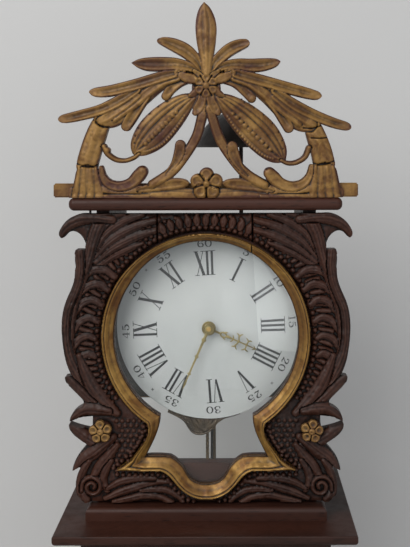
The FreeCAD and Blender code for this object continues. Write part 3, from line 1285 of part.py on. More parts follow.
def hammer_shape():
    """The arm, its cross piece with the head beside the bell's left wall, and the tail."""
    arm_y = float(s.hammer_y)
    arm_radius = float(s.hammer_arm_radius)
    head_radius = float(s.hammer_head_radius)
    level = float(arm_length)
    around = wall_radius_at(float(s.hammer_level - s.bell_mouth_rise) + head_radius)
    aside = arm_y + head_radius - float(s.bell_y)
    tip = float(s.bell_x - mx - s.hammer_offset + s.hammer_gap) - math.sqrt(around ** 2 - aside ** 2)
    arm = Part.makeCylinder(arm_radius, level, Vector(0, arm_y, 0))
    cross = Part.makeCylinder(arm_radius, -tip + arm_radius, Vector(tip, arm_y, level),
                              Vector(1, 0, 0))
    head = Part.makeCylinder(head_radius, float(s.hammer_head_length), Vector(tip, arm_y, level),
                             Vector(1, 0, 0))
    across = float(s.pin_wheel_offset - s.hammer_offset)
    sweep = float(s.pin_circle_radius + s.pin_radius + s.hammer_gap)
    drop = float(s.hammer_rise - pin_wheel_rise) - math.sqrt(sweep ** 2 - across ** 2)
    half = float(s.hammer_tail_width) / 2
    tail = Part.makeBox(2 * half, float(s.hammer_tail_thickness), drop,
                        Vector(-half, float(s.hammer_tail_y), -drop))
    return [arm, cross, head, tail]


keep_wheel("hammer", "hammer", arbor(pivot_front, pivot_back) + hammer_shape())

# Pendulum
eye = rod("pendulum_eye", s.rod_eye_radius,
          (mx, s.pendulum_y - s.rod_eye_thickness / 2, pallet_z), s.rod_eye_thickness, "Y")
eye_bore = rod("eye_bore", s.suspension_pin_radius + s.fit_gap,
               (mx, s.pendulum_y - s.rod_eye_thickness / 2 - s.overrun, pallet_z),
               s.rod_eye_thickness + 2 * s.overrun, "Y")
bob_z = pallet_z - s.pendulum_length
rod_foot = bob_z - s.bob_radius - s.rod_tail_length
stem = rod("pendulum_stem", s.rod_radius, (mx, s.pendulum_y, rod_foot), pallet_z - rod_foot)
keep(less("pendulum", joined("pendulum_whole", [eye, stem]), [eye_bore]), "pendulum_rod")


def bob_shape():
    """A lens from two shallow caps, bored for the rod."""
    radius = float(s.bob_radius)
    half = float(s.bob_thickness) / 2
    ball = (radius ** 2 + half ** 2) / (2 * half)
    lens = Part.makeSphere(ball, Vector(0, ball - half, 0)).common(
        Part.makeSphere(ball, Vector(0, half - ball, 0)))
    bore = Part.makeCylinder(float(s.rod_radius + s.fit_gap), 3 * radius, Vector(0, 0, -1.5 * radius))
    nut = Part.makeCylinder(float(s.rating_nut_radius), float(s.rating_nut_height),
                            Vector(0, 0, -radius - float(s.rating_nut_height)))
    return Part.makeCompound([lens.cut(bore), nut.cut(bore)])


keep(place(free_shape("bob", bob_shape()), (mx, s.pendulum_y, bob_z)), "pendulum_bob")

# Weights and ropes
weight_top = head_floor - s.weight_top_drop
weights = {
    "going_weight": ("going_outer", s.weight_radius, s.weight_length, weight_top),
    "going_counterweight": ("going_inner", s.counter_radius, s.counter_length,
                            s.counter_top_height),
    "strike_weight": ("strike_outer", s.weight_radius, s.weight_length, weight_top),
    "strike_counterweight": ("strike_inner", s.counter_radius, s.counter_length,
                             s.counter_top_height),
}
for label, (hung, radius, length, top) in weights.items():
    across, deep = rope_places[hung]
    shoulder = top - s.weight_neck_length
    body = rod(f"{label}_body", radius, (mx + across, deep, shoulder - length), length)
    neck = rod(f"{label}_neck", s.weight_neck_radius, (mx + across, deep, shoulder),
               s.weight_neck_length)
    keep(joined(f"{label}_whole", [body, neck]), label)


def rope_half_ring():
    radius = float(s.rope_radius)
    reach = float(s.pulley_rope_radius)
    ring = Part.Face(Part.Wire([Part.makeCircle(radius, Vector(reach, 0, 0), Vector(0, 0, 1))]))
    return ring.revolve(Vector(), Vector(0, -1, 0), 180)


for train, side, rope_y in (("going", -1, s.going_rope_y), ("strike", 1, s.strike_rope_y)):
    bend = place(free_shape(f"{train}_rope_bend", rope_half_ring()),
                 (mx + great_offset * side, rope_y, great_z))
    strands = [bend]
    for hung, foot in ((f"{train}_outer", weight_top),
                       (f"{train}_inner", s.counter_top_height)):
        across, deep = rope_places[hung]
        strands.append(rod(f"{hung}_strand", s.rope_radius, (mx + across, deep, foot),
                           great_z - foot))
    keep(joined(f"{train}_rope_whole", strands), f"{train}_rope")

# Checks and files
doc.recompute()
faults = [item.Label for item in doc.Objects if {"Invalid", "Error"} & set(item.State)]
if faults:
    raise RuntimeError(f"faulty objects: {faults}")
os.makedirs("parts", exist_ok=True)
for label, item in nodes.items():
    shape = item.Shape
    if shape.isNull() or not shape.isValid():
        raise RuntimeError(f"bad shape: {label}")
    shape.exportStep(f"parts/{label}.step")
    print(label, len(shape.Solids), round(shape.Volume))
print(len(nodes), "nodes")
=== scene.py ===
import math

import bmesh
import bpy
import numpy as np
from mathutils import Matrix, Vector


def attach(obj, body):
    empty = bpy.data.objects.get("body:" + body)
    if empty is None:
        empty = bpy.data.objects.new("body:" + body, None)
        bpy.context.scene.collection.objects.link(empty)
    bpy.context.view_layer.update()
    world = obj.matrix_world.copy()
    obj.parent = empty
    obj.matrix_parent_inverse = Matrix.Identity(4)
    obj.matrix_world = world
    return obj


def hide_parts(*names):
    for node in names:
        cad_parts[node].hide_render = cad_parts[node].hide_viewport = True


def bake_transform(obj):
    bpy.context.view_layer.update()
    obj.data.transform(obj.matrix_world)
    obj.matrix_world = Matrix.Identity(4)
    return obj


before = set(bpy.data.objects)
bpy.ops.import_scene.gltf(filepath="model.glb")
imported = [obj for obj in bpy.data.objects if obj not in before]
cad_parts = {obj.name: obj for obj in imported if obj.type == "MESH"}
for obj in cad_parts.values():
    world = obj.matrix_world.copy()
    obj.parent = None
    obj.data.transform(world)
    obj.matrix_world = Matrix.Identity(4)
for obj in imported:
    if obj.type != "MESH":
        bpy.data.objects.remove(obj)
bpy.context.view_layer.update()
print("stage: frame loaded")

mm = 0.001
headFloor = 1600  # height of the cornice top, mm; the head's own sizes are measured from it

# camera as the photograph: level, its view shifted down and left, with a slight lean
photoCamera = {"place": (0.0394, -1.295, 2.068), "lens": 63.49, "shiftX": -0.0584,
               "shiftY": -0.2362, "lean": -0.15, "near": 0.05, "far": 60}


def addObject(name, data):
    made = bpy.data.objects.new(name, data)
    bpy.context.scene.collection.objects.link(made)
    return made


def addCamera(sizes):
    data = bpy.data.cameras.new("photoCamera")
    data.lens = sizes["lens"]
    data.sensor_width = 36
    data.shift_x = sizes["shiftX"]
    data.shift_y = sizes["shiftY"]
    data.clip_start = sizes["near"]
    data.clip_end = sizes["far"]
    camera = addObject("photoCamera", data)
    turn = Matrix.Rotation(math.radians(90), 3, "X") @ Matrix.Rotation(
        math.radians(sizes["lean"]), 3, "Z")
    camera.location = sizes["place"]
    camera.rotation_euler = turn.to_euler()
    bpy.context.scene.camera = camera


addCamera(photoCamera)
print("stage: camera")


# node trees

class Parts:
    # short ways to add and join the nodes of one tree
    def __init__(self, tree):
        self.nodes = tree.nodes
        self.links = tree.links

    def put(self, socket, value):
        # a plain value sets the socket, another node's output is joined to it
        if isinstance(value, (int, float, tuple)):
            socket.default_value = value
        else:
            self.links.new(value, socket)

    def add(self, kind, inputs):
        node = self.nodes.new(kind)
        for label, value in inputs.items():
            self.put(node.inputs[label], value)
        return node

    def math(self, operation, first, second=0.0, clamp=False):
        node = self.nodes.new("ShaderNodeMath")
        node.operation = operation
        node.use_clamp = clamp
        self.put(node.inputs[0], first)
        self.put(node.inputs[1], second)
        return node.outputs[0]

    def times(self, first, second, clamp=False):
        return self.math("MULTIPLY", first, second, clamp)

    def plus(self, first, second, clamp=False):
        return self.math("ADD", first, second, clamp)

    def vector(self, operation, inputs):
        node = self.nodes.new("ShaderNodeVectorMath")
        node.operation = operation
        for label, value in inputs.items():
            self.put(node.inputs[label], value)
        return node.outputs[0]

    def mix(self, factor, first, second):
        node = self.nodes.new("ShaderNodeMix")
        node.data_type = "RGBA"
        for label, value in (("Factor", factor), (6, first), (7, second)):
            self.put(node.inputs[label], value)
        return node.outputs[2]

    def span(self, value, fromLow, fromHigh, toLow=0.0, toHigh=1.0):
        return self.add("ShaderNodeMapRange", {
            "Value": value, "From Min": fromLow, "From Max": fromHigh, "To Min": toLow,
            "To Max": toHigh}).outputs[0]

    def noise(self, place, scale, detail, roughness, distortion=0.0):
        return self.add("ShaderNodeTexNoise", {
            "Vector": place, "Scale": scale, "Detail": detail, "Roughness": roughness,
            "Distortion": distortion}).outputs["Fac"]

    def place(self, stretch=(1, 1, 1)):
        spot = self.nodes.new("ShaderNodeTexCoord").outputs["Object"]
        return self.add("ShaderNodeMapping", {"Vector": spot, "Scale": stretch}).outputs["Vector"]

    def attribute(self, label):
        node = self.nodes.new("ShaderNodeAttribute")
        node.attribute_name = label
        return node.outputs["Fac"]

    def pattern(self, group, place, scale=1.0):
        node = self.nodes.new("ShaderNodeGroup")
        node.node_tree = group
        self.put(node.inputs["Place"], place)
        self.put(node.inputs["Scale"], scale)
        return node.outputs


class Look(Parts):
    # a material round its Principled BSDF
    def __init__(self, name):
        self.material = bpy.data.materials.new(name)
        self.material.use_nodes = True
        super().__init__(self.material.node_tree)
        self.shader = self.nodes["Principled BSDF"]

    def finish(self, inputs):
        for label, value in inputs.items():
            self.put(self.shader.inputs[label], value)
        return self.material

    def bump(self, height, strength, distance):
        return self.add("ShaderNodeBump", {"Strength": strength, "Distance": distance,
                                           "Height": height}).outputs["Normal"]

    def letThrough(self, share):
        # where the share is 1 the surface is clear
        clear = self.nodes.new("ShaderNodeBsdfTransparent")
        mixed = self.add("ShaderNodeMixShader", {0: share, 1: self.shader.outputs[0],
                                                 2: clear.outputs[0]})
        self.put(self.nodes["Material Output"].inputs["Surface"], mixed.outputs[0])


def newSocket(tree, way, label, kind, value=None):
    socket = tree.interface.new_socket(name=label, in_out=way, socket_type=kind)
    if value is not None:
        socket.default_value = value


def patternGroup(name, noises):
    # noises on a scaled place; each may be narrowed to the span between two of its values
    tree = bpy.data.node_groups.new(name, "ShaderNodeTree")
    newSocket(tree, "INPUT", "Place", "NodeSocketVector", (0, 0, 0))
    newSocket(tree, "INPUT", "Scale", "NodeSocketFloat", 1.0)
    for label in noises:
        newSocket(tree, "OUTPUT", label, "NodeSocketFloat")
    parts = Parts(tree)
    start, end = parts.nodes.new("NodeGroupInput"), parts.nodes.new("NodeGroupOutput")
    place = parts.vector("SCALE", {0: start.outputs["Place"], "Scale": start.outputs["Scale"]})
    for label, (scale, detail, roughness, distortion, edges) in noises.items():
        value = parts.noise(place, scale, detail, roughness, distortion)
        if edges:
            value = parts.span(value, *edges)
        parts.put(end.inputs[label], value)
    return tree


def colour(red, green, blue):
    # written as seen on a screen, 0 to 255
    def linear(value):
        share = value / 255
        return share / 12.92 if share <= 0.04045 else ((share + 0.055) / 1.055) ** 2.4
    return (linear(red), linear(green), linear(blue), 1)


# scale, detail, roughness, distortion, and the values between which the noise rises
woodGrain = patternGroup("woodGrain", {"Grain": (12, 6, 0.6, 1.2, None),
                                       "Pores": (95, 2, 0.5, 0, None),
                                       "Tone": (2.3, 2, 0.5, 0, None)})
agedSurface = patternGroup("agedSurface", {"Rubs": (45, 5, 0.65, 0.4, (0.42, 0.68)),
                                           "Specks": (260, 3, 0.7, 0, (0.55, 0.72)),
                                           "Fine": (900, 2, 0.6, 0, None)})
looks = {}

# woods: the grain runs along the axis that is stretched least
lengthUp, lengthAcross, lengthDeep = (6, 6, 0.7), (0.7, 6, 6), (6, 0.7, 6)
darkWood = {"dark": (30, 16, 12), "light": (45, 26, 20), "tint": (60, 31, 21), "rough": 0.42,
            "coat": 0.06, "bump": 0.25, "way": lengthUp}
woods = {
    "woodUp": {**darkWood, "name": "darkWoodUp"},
    "woodAcross": {**darkWood, "name": "darkWoodAcross", "way": lengthAcross, "bump": 0.14},
    # the carved wood's ridge tone is partly wear, partly painted highlight; its hollow tone is
    # painted shade
    "woodCarved": {**darkWood, "name": "darkWoodCarved", "ridge": (68, 43, 33),
                   "hollow": (11, 7, 6)},
    "plainWood": {"name": "plainWood", "dark": (110, 78, 48), "light": (150, 112, 72),
                  "tint": (95, 66, 42), "rough": 0.6, "coat": 0.0, "bump": 0.4, "way": lengthUp},
    "pulleyWood": {"name": "pulleyWood", "dark": (120, 84, 50), "light": (158, 118, 76),
                   "tint": (100, 70, 44), "rough": 0.5, "coat": 0.05, "bump": 0.3,
                   "way": lengthDeep},
    "maskPaint": {"name": "maskPaint", "dark": (58, 56, 49), "light": (74, 70, 60),
                  "tint": (50, 46, 40), "rough": 0.55, "coat": 0.0, "bump": 0.3,
                  "way": lengthAcross},
}


def woodMaterial(wood):
    look = Look(wood["name"])
    dark = colour(*wood["dark"])
    grain = look.pattern(woodGrain, look.place(wood["way"]))
    aged = look.pattern(agedSurface, look.place())
    body = look.mix(look.span(grain["Grain"], 0.35, 0.7), dark, colour(*wood["light"]))
    body = look.mix(look.span(grain["Tone"], 0.4, 0.7, 0, 0.8), body, colour(*wood["tint"]))
    poreTone = tuple(c * 0.35 for c in dark[:3]) + (1,)
    body = look.mix(look.span(grain["Pores"], 0.58, 0.7, 0, 0.6), body, poreTone)
    if "ridge" in wood:
        depth = look.attribute("carveDepth")
        # lighter on the raised ridges, more where rubbed: partly wear, partly painted highlight
        ridge = look.times(look.span(depth, -0.05, -0.9), look.plus(aged["Rubs"], 0.35), True)
        body = look.mix(look.times(ridge, 0.6), body, colour(*wood["ridge"]))
        # near-black down in the hollows: painted shade
        hollow = look.times(look.span(depth, 0.05, 1.1), 0.85)
        body = look.mix(hollow, body, colour(*wood["hollow"]))
    height = look.plus(grain["Grain"], look.times(aged["Fine"], 0.35))
    return look.finish({"Base Color": body, "Specular IOR Level": 0.18,
                        "Roughness": look.plus(look.times(aged["Rubs"], 0.16), wood["rough"]),
                        "Coat Weight": wood["coat"], "Coat Roughness": 0.4,
                        "Normal": look.bump(height, wood["bump"], 0.0006)})


for label, wood in woods.items():
    looks[label] = woodMaterial(wood)

# worn gilding: gold and pale gold, red clay where it is rubbed and along the outlines (there partly
# painted edge shade), pale gold on the raised parts as a painted highlight, and dark in the hollows
# as painted shade
gildings = {
    # deep is the tone of the painted shade in the hollows and of the dirt specks
    "crestGilding": {"gold": (92, 61, 26), "pale": (142, 108, 56), "clay": (66, 35, 24),
                     "deep": (16, 9, 6), "metallic": 0.25, "rough": 0.4, "wearAndEdgeShade": 1.0},
    "sightGilding": {"gold": (104, 70, 29), "pale": (152, 118, 60), "clay": (78, 46, 24),
                     "deep": (22, 13, 8), "metallic": 0.4, "rough": 0.32, "wearAndEdgeShade": 0.8},
    "flowerGilding": {"gold": (98, 68, 34), "pale": (138, 106, 58), "clay": (76, 46, 28),
                      "deep": (24, 15, 9), "metallic": 0.3, "rough": 0.38, "wearAndEdgeShade": 0.7},
}


def gildedMaterial(name, gilding):
    look = Look(name)
    place = look.place()
    aged = look.pattern(agedSurface, place)
    broad = look.noise(place, 13, 3, 0.5, 0.8)
    patch = look.noise(place, 38, 4, 0.6, 0.6)
    depth, rim = look.attribute("carveDepth"), look.attribute("carveRim")
    gold, pale, clay, deep = (colour(*gilding[label]) for label in ("gold", "pale", "clay", "deep"))
    red = look.plus(look.span(broad, 0.44, 0.62, 0, 0.75), look.span(patch, 0.52, 0.68, 0, 0.4),
                    True)
    # red clay along the outlines: partly worn bole, partly painted edge shade
    red = look.plus(red, look.times(rim, look.span(patch, 0.4, 0.56, 0.25, 0.9)), True)
    body = look.mix(look.span(patch, 0.4, 0.6), gold, pale)
    body = look.mix(look.times(red, gilding["wearAndEdgeShade"]), body, clay)
    # pale gold on the raised parts: painted highlight
    body = look.mix(look.times(look.span(depth, -0.08, -0.9), 0.5), body, pale)
    # dark down in the hollows: painted shade; the metal sheen fades there with it
    hollow = look.span(depth, 0.02, 0.65)
    body = look.mix(hollow, body, deep)
    body = look.mix(look.times(aged["Specks"], 0.3), body, deep)
    shine = look.times(look.math("SUBTRACT", 1.0, hollow, True), gilding["metallic"])
    height = look.plus(patch, look.times(aged["Fine"], 0.3))
    return look.finish({"Base Color": body, "Metallic": shine, "Specular IOR Level": 0.3,
                        "Roughness": look.plus(look.times(aged["Rubs"], 0.2), gilding["rough"]),
                        "Normal": look.bump(height, 0.3, 0.0007)})


for label, gilding in gildings.items():
    looks[label] = gildedMaterial(label, gilding)

# metals: bright tone, dull tone, metallic, roughness, bump
metals = {
    "wheelBrass": ((196, 160, 92), (140, 105, 55), 0.9, 0.3, 0.15),
    "latchBrass": ((176, 138, 76), (110, 80, 42), 0.9, 0.3, 0.15),
    "handBrass": ((132, 118, 72), (92, 80, 46), 0.6, 0.4, 0.15),
    "apronBrass": ((62, 47, 25), (28, 20, 11), 0.3, 0.42, 0.15),
    "bellMetal": ((48, 44, 42), (30, 26, 24), 0.75, 0.42, 0.15),
    "darkIron": ((52, 50, 50), (70, 48, 38), 0.7, 0.5, 0.3),
    "steel": ((136, 136, 138), (84, 78, 74), 0.9, 0.3, 0.15),
    "weightIron": ((58, 57, 57), (84, 58, 46), 0.55, 0.6, 0.5),
}


def metalMaterial(name, bright, dull, metallic, rough, bump):
    look = Look(name)
    aged = look.pattern(agedSurface, look.place())
    body = look.mix(look.times(aged["Rubs"], 0.8), colour(*bright), colour(*dull))
    height = look.plus(aged["Specks"], look.times(aged["Fine"], 0.6))
    return look.finish({"Base Color": body, "Metallic": metallic,
                        "Roughness": look.plus(look.times(aged["Rubs"], 0.25), rough),
                        "Normal": look.bump(height, bump, 0.0003)})


for label, values in metals.items():
    looks[label] = metalMaterial(label, *values)


def enamelMaterial():
    look = Look("dialEnamel")
    place = look.place()
    cloud = look.noise(place, 9, 3, 0.5)
    specks = look.pattern(agedSurface, place, 0.6)["Specks"]
    body = look.mix(look.span(cloud, 0.35, 0.65), colour(169, 171, 171), colour(160, 163, 163))
    body = look.mix(look.times(specks, 0.05), body, colour(150, 140, 120))
    return look.finish({"Base Color": body, "Roughness": 0.12, "Coat Weight": 0.5,
                        "Coat Roughness": 0.05, "Normal": look.bump(cloud, 0.05, 0.001)})


def figureMaterial():
    look = Look("figurePaint")
    rubs = look.pattern(agedSurface, look.place())["Rubs"]
    body = look.mix(rubs, colour(10, 12, 17), colour(22, 23, 28))
    return look.finish({"Base Color": body, "Roughness": 0.4})


def glassMaterial():
    look = Look("paneGlass")
    wave = look.noise(look.place(), 6, 2, 0.4)
    look.letThrough(look.nodes.new("ShaderNodeLightPath").outputs["Is Shadow Ray"])
    return look.finish({"Base Color": colour(250, 252, 251), "Roughness": 0.0, "IOR": 1.45,
                        "Transmission Weight": 1.0, "Normal": look.bump(wave, 0.02, 0.002)})


def ropeMaterial():
    look = Look("hempRope")
    place = look.place()
    fibre = look.noise(place, 420, 3, 0.7)
    tone = look.noise(place, 14, 2, 0.5)
    body = look.mix(look.span(fibre, 0.3, 0.7), colour(88, 72, 50), colour(128, 108, 78))
    body = look.mix(look.span(tone, 0.4, 0.65, 0, 0.5), body, colour(66, 52, 38))
    return look.finish({"Base Color": body, "Roughness": 0.85,
                        "Normal": look.bump(fibre, 0.6, 0.0006)})


looks["dialEnamel"] = enamelMaterial()
looks["figurePaint"] = figureMaterial()
looks["paneGlass"] = glassMaterial()
looks["hempRope"] = ropeMaterial()
print("stage: materials")

nodeLooks = {
    "woodUp": ["trunk_side_left", "trunk_side_right", "trunk_front_frame", "trunk_door_frame",
               "trunk_door_panel", "head_side_left", "head_side_right", "head_door_frame"],
    "woodAcross": ["plinth_box", "skirting", "cornice_board", "cornice_moulding",
                   "head_base_moulding", "head_sill", "head_top_frame"],
    "plainWood": ["case_back_board", "seat_board"],
    "pulleyWood": ["going_pulley", "strike_pulley"],
    "maskPaint": ["dial_mask"],
    "crestGilding": ["crest_carving", "crest_base_strip", "rosette_left", "rosette_right"],
    "sightGilding": ["head_door_sight_moulding"],
    "paneGlass": ["head_door_glass"],
    "dialEnamel": ["dial_plate"],
    "apronBrass": ["brass_apron"],
    "handBrass": ["hour_hand", "minute_hand"],
    "latchBrass": ["trunk_door_latch"],
    "wheelBrass": ["going_great_wheel", "centre_wheel", "third_wheel", "escape_wheel",
                   "strike_great_wheel", "count_wheel", "pin_wheel", "cannon_pinion",
                   "hour_wheel", "minute_wheel", "pendulum_bob"],
    "bellMetal": ["bell"],
    "darkIron": ["movement_bottom_plate", "movement_top_plate", "movement_pillars_and_bars",
                 "bell_stand", "trunk_hinge_pins", "trunk_hinge_sleeves", "head_door_pins"],
    "steel": ["pallet_anchor", "fly", "hammer", "pendulum_rod"],
    "weightIron": ["going_weight", "strike_weight", "going_counterweight",
                   "strike_counterweight"],
    "hempRope": ["going_rope", "strike_rope"],
}
for look, names in nodeLooks.items():
    for name in names:
        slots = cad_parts[name].material_slots
        for slot in slots:
            slot.material = looks[look]
print("stage: node materials")


# relief carving: strokes laid on a grid, then a closed solid with the grid's outline

class Relief:
    def __init__(self, box, cell):
        left, right, low, high = box
        self.cell = cell
        self.across = np.arange(left, right + cell, cell)
        self.up = np.arange(low, high + cell, cell)
        self.x, self.z = np.meshgrid(self.across, self.up, indexing="ij")
        self.height = np.full(self.x.shape, -1.0)
        self.inside = np.full(self.x.shape, -99.0)

    def window(self, lowX, highX, lowZ, highZ):
        # the part of the grid between these places
        return (slice(np.searchsorted(self.across, lowX), np.searchsorted(self.across, highX)),
                slice(np.searchsorted(self.up, lowZ), np.searchsorted(self.up, highZ)))

    def lay(self, window, touched, height, inside):
        self.height[window] = np.where(touched, height, self.height[window])
        self.inside[window] = np.maximum(self.inside[window], inside)


def curveThrough(rows, steps=12):
    # a smooth path through rows of numbers, whatever each row holds
    rows = np.array(rows, float)
    if len(rows) < 3:
        share = np.linspace(0, 1, steps)[:, None]
        return rows[0] * (1 - share) + rows[-1] * share
    padded = np.vstack([2 * rows[0] - rows[1], rows, 2 * rows[-1] - rows[-2]])
    out = []
    for index in range(len(rows) - 1):
        a, b, c, d = padded[index:index + 4]
        for share in np.linspace(0, 1, steps, endpoint=False):
            out.append(0.5 * (2 * b + (c - a) * share + (2 * a - 5 * b + 4 * c - d) * share ** 2
                              + (3 * b - a - 3 * c + d) * share ** 3))
    out.append(rows[-1])
    return np.array(out)


def measureStroke(relief, rows):
    # for each grid point near the path: signed distance aside, share along, half width there
    path = curveThrough(rows)
    path[:, 2] = np.maximum(path[:, 2], 0.05)
    reach = path[:, 2].max() + 3 * relief.cell
    window = relief.window(path[:, 0].min() - reach, path[:, 0].max() + reach,
                           path[:, 1].min() - reach, path[:, 1].max() + reach)
    x = relief.x[window]
    z = relief.z[window]
    best = np.full(x.shape, 1e9)
    aside = np.zeros(x.shape)
    along = np.zeros(x.shape)
    wide = np.zeros(x.shape)
    steps = np.linalg.norm(np.diff(path[:, :2], axis=0), axis=1)
    total = np.concatenate([[0], np.cumsum(steps)])
    for index in range(len(path) - 1):
        startX, startZ, startWide = path[index, :3]
        wayX, wayZ = path[index + 1, :2] - path[index, :2]
        length = max(math.hypot(wayX, wayZ), 1e-6)
        share = np.clip(((x - startX) * wayX + (z - startZ) * wayZ) / length ** 2, 0, 1)
        gapX = x - startX - share * wayX
        gapZ = z - startZ - share * wayZ
        gap = np.hypot(gapX, gapZ)
        side = np.sign(wayX * gapZ - wayZ * gapX)
        width = startWide + share * (path[index + 1, 2] - startWide)
        score = gap - width
        closer = score < best
        best = np.where(closer, score, best)
        aside = np.where(closer, gap * side, aside)
        along = np.where(closer, total[index] + share * length, along)
        wide = np.where(closer, width, wide)
    return window, aside, along / max(total[-1], 1e-6), wide


def carve(relief, rows, base, crown, groove=0.0, grooveWide=0.8, lines=(), rim=0.0, power=2.0,
          mode="over", channel=None, tilt=0.0):
    # base: edge height at the start and end; crown: rise of the middle over the edges;
    # lines: cuts along it; channel: depth and share of a gouged hollow; tilt: one side higher
    window, aside, share, wide = measureStroke(relief, rows)
    across = np.clip(np.abs(aside) / wide, 0, 1)
    inside = wide - np.abs(aside)
    old = relief.height[window]
    if mode == "sink":
        fall = crown * np.clip(1 - across ** power, 0, 1)
        relief.height[window] = np.where((inside > 0) & (old > 0), old - fall, old)
        return
    height = base[0] + (base[1] - base[0]) * share + crown * (1 - across ** power)
    if rim:
        height = height + rim * np.exp(-((across - 0.82) / 0.16) ** 2)
    if groove:
        height = height - groove * np.exp(-(aside / grooveWide) ** 2) * np.clip(
            1.15 - share, 0, 1)
    for offset, depth, lineWide in lines:
        height = height - depth * np.exp(-((aside - offset * wide) / lineWide) ** 2)
    if channel:
        height = height - channel[0] * np.exp(-(across / channel[1]) ** 4) * np.clip(
            6 * (1 - share), 0, 1)
    height = height + tilt * np.clip(aside / wide, -1, 1)
    relief.lay(window, (inside > 0) & ((height > old) | (mode == "over")), height, inside)


def dome(relief, x, z, radius, base, crown, power=2.0, mode="higher"):
    reach = radius + 3 * relief.cell
    window = relief.window(x - reach, x + reach, z - reach, z + reach)
    gap = np.hypot(relief.x[window] - x, relief.z[window] - z)
    inside = radius - gap
    rise = crown * np.clip(1 - (gap / radius) ** power, 0, 1) ** 0.5
    old = relief.height[window]
    if mode == "sink":
        relief.height[window] = np.where((inside > 0) & (old > 0), old - rise, old)
        return
    height = base + rise
    relief.lay(window, (inside > 0) & ((height > old) | (mode == "over")), height, inside)


def toolMarks(relief, pitch, depth, seed):
    # soft uneven cuts left by the gouge: how far apart, how deep, and which draw
    spots = np.random.default_rng(seed)
    placeX = (relief.x - relief.x.min()) / pitch
    placeZ = (relief.z - relief.z.min()) / pitch
    field = spots.uniform(-1, 1, (int(placeX.max()) + 2, int(placeZ.max()) + 2))
    i, j = placeX.astype(int), placeZ.astype(int)
    shareX, shareZ = placeX - i, placeZ - j
    shareX, shareZ = (share * share * (3 - 2 * share) for share in (shareX, shareZ))
    low = field[i, j] * (1 - shareX) + field[i + 1, j] * shareX
    high = field[i, j + 1] * (1 - shareX) + field[i + 1, j + 1] * shareX
    return depth * (low * (1 - shareZ) + high * shareZ)


def blurred(field, radius):
    size = 2 * radius + 1
    for axis in (0, 1):
        padding = [(radius + 1, radius) if number == axis else (0, 0) for number in (0, 1)]
        total = np.cumsum(np.pad(field, padding, mode="edge"), axis=axis)
        if axis == 0:
            field = (total[size:, :] - total[:-size, :]) / size
        else:
            field = (total[:, size:] - total[:, :-size]) / size
    return field


def spread(height, known, rounds):
    # fill the points just outside with the mean of their known neighbours
    height = height.copy()
    known = known.copy()
    for _ in range(rounds):
        total = np.zeros(height.shape)
        count = np.zeros(height.shape)
        for shiftX in (-1, 0, 1):
            for shiftZ in (-1, 0, 1):
                total += np.roll(np.roll(height * known, shiftX, 0), shiftZ, 1)
                count += np.roll(np.roll(known.astype(float), shiftX, 0), shiftZ, 1)
        fresh = (~known) & (count > 0)
        height[fresh] = total[fresh] / count[fresh]
        known = known | fresh
    return height


def backLoops(number, cells, block=4):
    # whole blocks of the flat back become one face each, matched along their edges
    rows, columns = cells.shape[0] // block, cells.shape[1] // block
    whole = cells[:rows * block, :columns * block].reshape(rows, block, columns, block)
    whole = whole.all(axis=(1, 3))
    plain = cells.copy()
    plain[:rows * block, :columns * block] &= ~np.kron(whole, np.ones((block, block))).astype(bool)
    padded = np.pad(whole, 1)
    loops = []
    for i, j in zip(*np.nonzero(whole)):
        low, high = (i * block, j * block), ((i + 1) * block, (j + 1) * block)
        steps = range(block)
        ways = ((padded[i + 1, j], [(low[0] + s, low[1]) for s in steps]),
                (padded[i + 2, j + 1], [(high[0], low[1] + s) for s in steps]),
                (padded[i + 1, j + 2], [(high[0] - s, high[1]) for s in steps]),
                (padded[i, j + 1], [(low[0], high[1] - s) for s in steps]))
        loop = []
        for joined, spots in ways:
            loop += spots[:1] if joined else spots
        loops.append(np.array([number[spot] for spot in reversed(loop)]))
    return loops, plain


def fittedOutline(relief, cells):
    # how often each grid point is used, and the grid with its border moved onto the outline
    used = np.zeros(relief.x.shape, int)
    for shiftX in (0, 1):
        for shiftZ in (0, 1):
            used[shiftX:shiftX + cells.shape[0], shiftZ:shiftZ + cells.shape[1]] += cells
    slopeX, slopeZ = np.gradient(relief.inside, relief.cell)
    steep = np.maximum(slopeX ** 2 + slopeZ ** 2, 0.2)
    move = np.where((used > 0) & (used < 4), -relief.inside / steep, 0)
    limit = 0.75 * relief.cell
    return (used, relief.x + np.clip(move * slopeX, -limit, limit),
            relief.z + np.clip(move * slopeZ, -limit, limit))


def wallFaces(corners, cells, count):
    # the faces that join front and back where a cell has no neighbour
    a, b, c, d = corners
    padded = np.pad(cells, 1)
    walls = []
    for first, second, neighbour in ((a, b, padded[1:-1, :-2]), (b, c, padded[2:, 1:-1]),
                                     (c, d, padded[1:-1, 2:]), (d, a, padded[:-2, 1:-1])):
        bare = ~neighbour[cells]
        start, end = first[bare], second[bare]
        walls.append(np.stack([end, start, start + count, end + count], axis=1))
    return walls


def meshPiece(name, where, corners, sizes, material):
    mesh = bpy.data.meshes.new(name)
    mesh.vertices.add(len(where))
    mesh.vertices.foreach_set("co", where.ravel())
    mesh.loops.add(len(corners))
    mesh.loops.foreach_set("vertex_index", corners.astype(np.int32))
    mesh.polygons.add(len(sizes))
    starts = np.concatenate([[0], np.cumsum(sizes)[:-1]])
    mesh.polygons.foreach_set("loop_start", starts.astype(np.int32))
    mesh.update(calc_edges=True)
    mesh.materials.append(material)
    return mesh


def smoothed(mesh, sharpFrom=50):
    # edges that turn by more degrees than this stay sharp
    mesh.polygons.foreach_set("use_smooth", np.ones(len(mesh.polygons), bool))
    mesh.set_sharp_from_angle(angle=math.radians(sharpFrom))


def countTriangles(stage, name, mesh):
    print(stage, name, sum(len(face.vertices) - 2 for face in mesh.polygons), "triangles")


# how far around a point a hollow is judged, finely and broadly, and how wide the rim is, mm; these
# set where painted shade, painted highlight and the worn, shaded rim fall
shadeAndWearReach = {"fine": 1.6, "broad": 4.0, "rim": 3.2}


